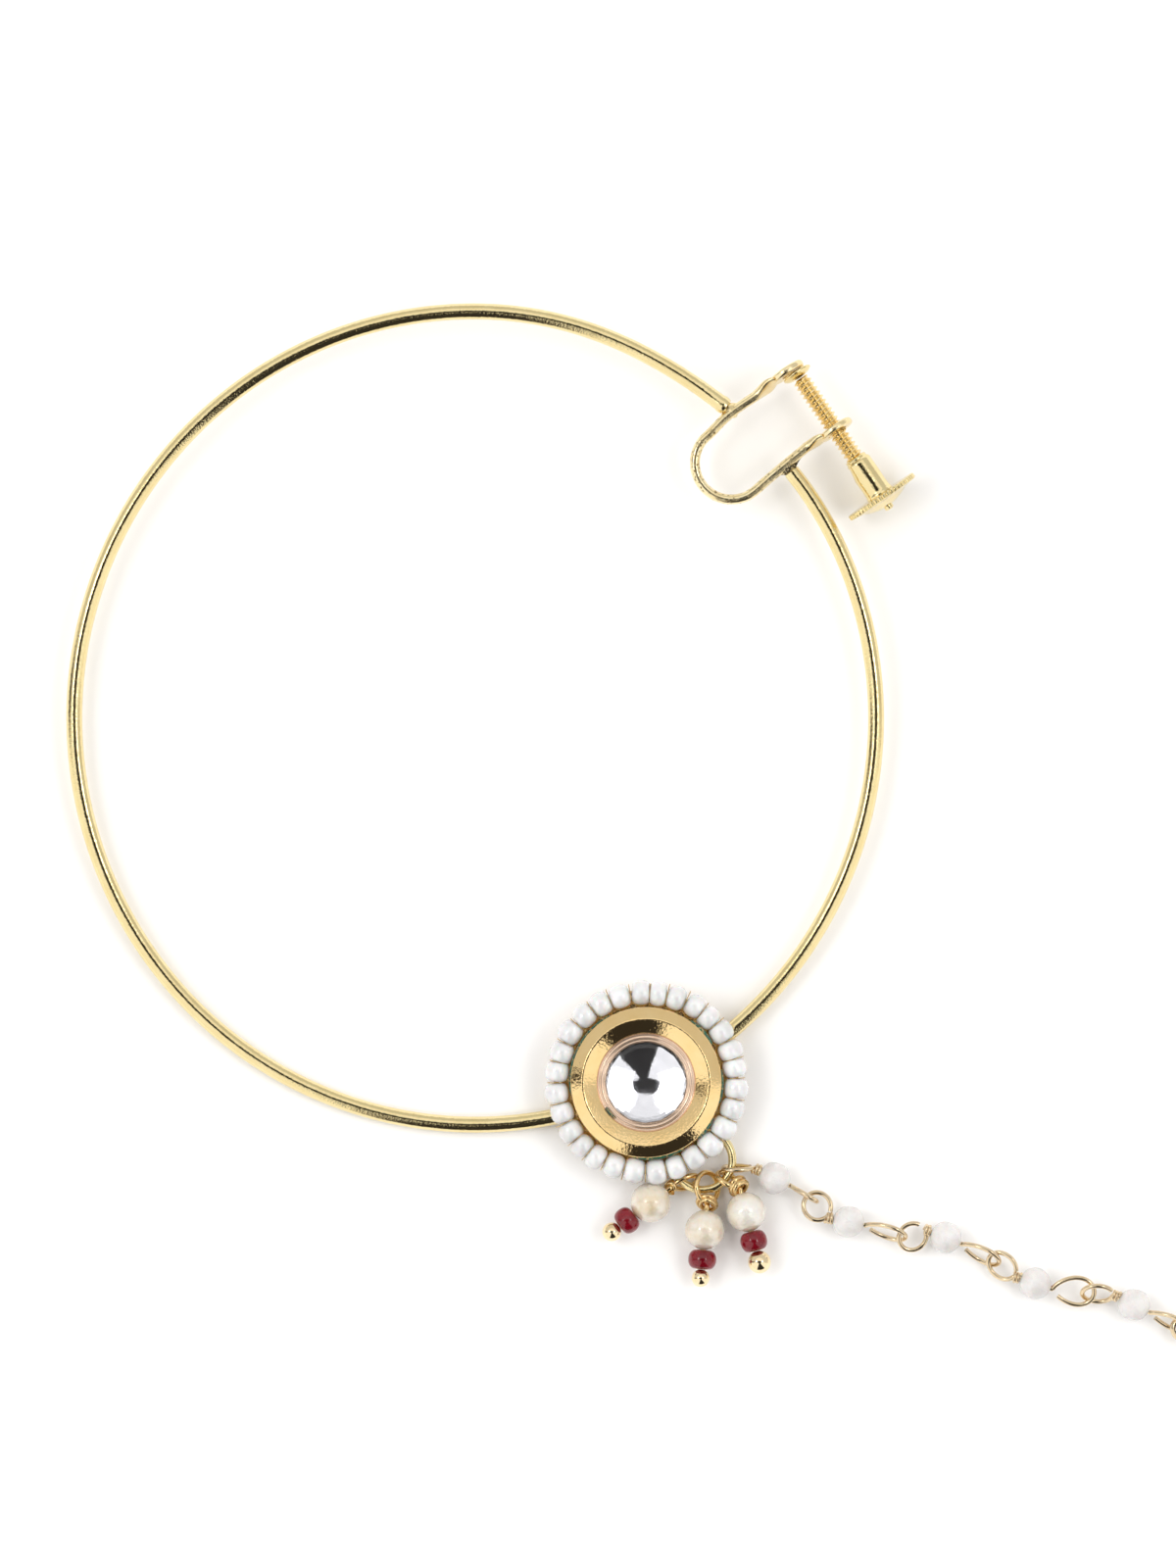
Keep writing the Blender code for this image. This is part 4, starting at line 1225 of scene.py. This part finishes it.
# %% Light tent as the world
world = bpy.data.worlds.new("light_tent")
bpy.context.scene.world = world
world.use_nodes = True
tent = world.node_tree
tent_link = tent.links.new
background = tent.nodes["Background"]
where = add(tent, "ShaderNodeTexCoord")
parts = add(tent, "ShaderNodeSeparateXYZ")
tent_link(where.outputs["Generated"], parts.inputs[0])


def tent_math(operation, first, second=None, clamp=False):
    node = add(tent, "ShaderNodeMath", operation=operation, use_clamp=clamp)
    for socket, value in zip(node.inputs, (first, second)):
        if value is None:
            continue
        if isinstance(value, (int, float)):
            socket.default_value = value
        else:
            tent_link(value, socket)
    return node.outputs[0]


def tent_ramp(value, low, high):
    """0 below low and 1 above high, with a soft step between."""
    node = add(tent, "ShaderNodeMapRange", interpolation_type="SMOOTHSTEP")
    node.inputs["From Min"].default_value = low
    node.inputs["From Max"].default_value = high
    tent_link(value, node.inputs["Value"])
    return node.outputs["Result"]


def tent_span(middle, half_width, soft):
    """1 within some degrees of an azimuth and 0 outside."""
    off = tent_math("ABSOLUTE", tent_math("SUBTRACT", azimuth, math.radians(middle)))
    outside = tent_ramp(off, math.radians(half_width), math.radians(half_width + soft))
    return tent_math("SUBTRACT", 1.0, outside)


front_span, opening_span = (-90.0, 80.0, 6.0), (-78.0, 27.0, 3.0)
hole_width, hole_height = 0.4, 0.2
azimuth = tent_math("ARCTAN2", parts.outputs["Y"], parts.outputs["X"])
bright_front = tent_math("MAXIMUM", tent_span(*front_span),
                         tent_math("MULTIPLY", tent_ramp(parts.outputs["Z"], 0.66, 0.74), 0.8))
opening = tent_span(*opening_span)
seam_offset = tent_math("SUBTRACT", math.pi, tent_math("ABSOLUTE", azimuth))
seam = tent_math("SUBTRACT", 1.0, tent_ramp(seam_offset, math.radians(3), math.radians(5)))
low = tent_math("SUBTRACT", 1.0, tent_ramp(parts.outputs["Z"], 0.64, 0.67))
dark_sides = tent_math("MAXIMUM", opening, tent_math("MULTIPLY", seam, low))
dark_sides = tent_math("MULTIPLY", dark_sides, tent_ramp(parts.outputs["Z"], 0.02, 0.08))
wide = tent_math("DIVIDE", parts.outputs["X"], hole_width)
tall = tent_math("DIVIDE", parts.outputs["Y"], hole_height)
off_camera = tent_math("SQRT", tent_math("ADD", tent_math("MULTIPLY", wide, wide),
                                         tent_math("MULTIPLY", tall, tall)))
above = tent_ramp(parts.outputs["Z"], 0.3, 0.5)
camera_hole = tent_math("MULTIPLY", above,
                        tent_math("SUBTRACT", 1.0, tent_ramp(off_camera, 0.85, 1.1)))
dark = tent_math("MAXIMUM", dark_sides, camera_hole, True)
sheet_color = add(tent, "ShaderNodeMix", data_type="RGBA")
sheet_color.inputs[6].default_value = (0.68, 0.675, 0.67, 1.0)
sheet_color.inputs[7].default_value = (1.1, 1.09, 1.075, 1.0)
tent_color = add(tent, "ShaderNodeMix", data_type="RGBA")
tent_color.inputs[7].default_value = (0.035, 0.033, 0.032, 1.0)
tent_link(bright_front, sheet_color.inputs[0])
tent_link(sheet_color.outputs[2], tent_color.inputs[6])
tent_link(dark, tent_color.inputs[0])
tent_link(tent_color.outputs[2], background.inputs["Color"])
background.inputs["Strength"].default_value = 1.0
bpy.context.scene.view_settings.view_transform = "Standard"
print("tent made")

# %% Lamps and camera


def soft_lamp(name, direction, distance, size, power, mirrored):
    data = bpy.data.lights.new(name, "AREA")
    data.shape = "SQUARE"
    data.size = size
    data.energy = power
    lamp = bpy.data.objects.new(name, data)
    bpy.context.scene.collection.objects.link(lamp)
    spot = Vector(direction).normalized() * distance
    lamp.location = spot
    lamp.rotation_mode = "QUATERNION"
    lamp.rotation_quaternion = spot.to_track_quat("Z", "Y")
    lamp.visible_glossy = mirrored


soft_lamp("left_lamp", (-1.0, 0.15, 0.85), 0.7, 0.8, 2.6, False)
soft_lamp("right_lamp", (1.0, 0.1, 0.85), 0.7, 0.8, 2.4, False)
soft_lamp("left_spark", (-0.5, 0.08, 0.86), 0.65, 0.13, 0.24, True)
soft_lamp("right_spark", (0.5, 0.05, 0.86), 0.65, 0.13, 0.22, True)

camera_data = bpy.data.cameras.new("camera")
camera = bpy.data.objects.new("camera", camera_data)
bpy.context.scene.collection.objects.link(camera)
bpy.context.scene.camera = camera
camera_x, camera_y, camera_height = -7.785, 4.295, 1500.0
picture_height, sensor_height = 116.3, 36.0
camera_data.sensor_fit = "VERTICAL"
camera_data.sensor_height = sensor_height
camera_data.lens = sensor_height * camera_height / picture_height
camera_data.clip_start = 0.01
camera_data.clip_end = 10.0
camera.location = Vector((camera_x, camera_y, camera_height)) * MM
print("camera and lamps made")
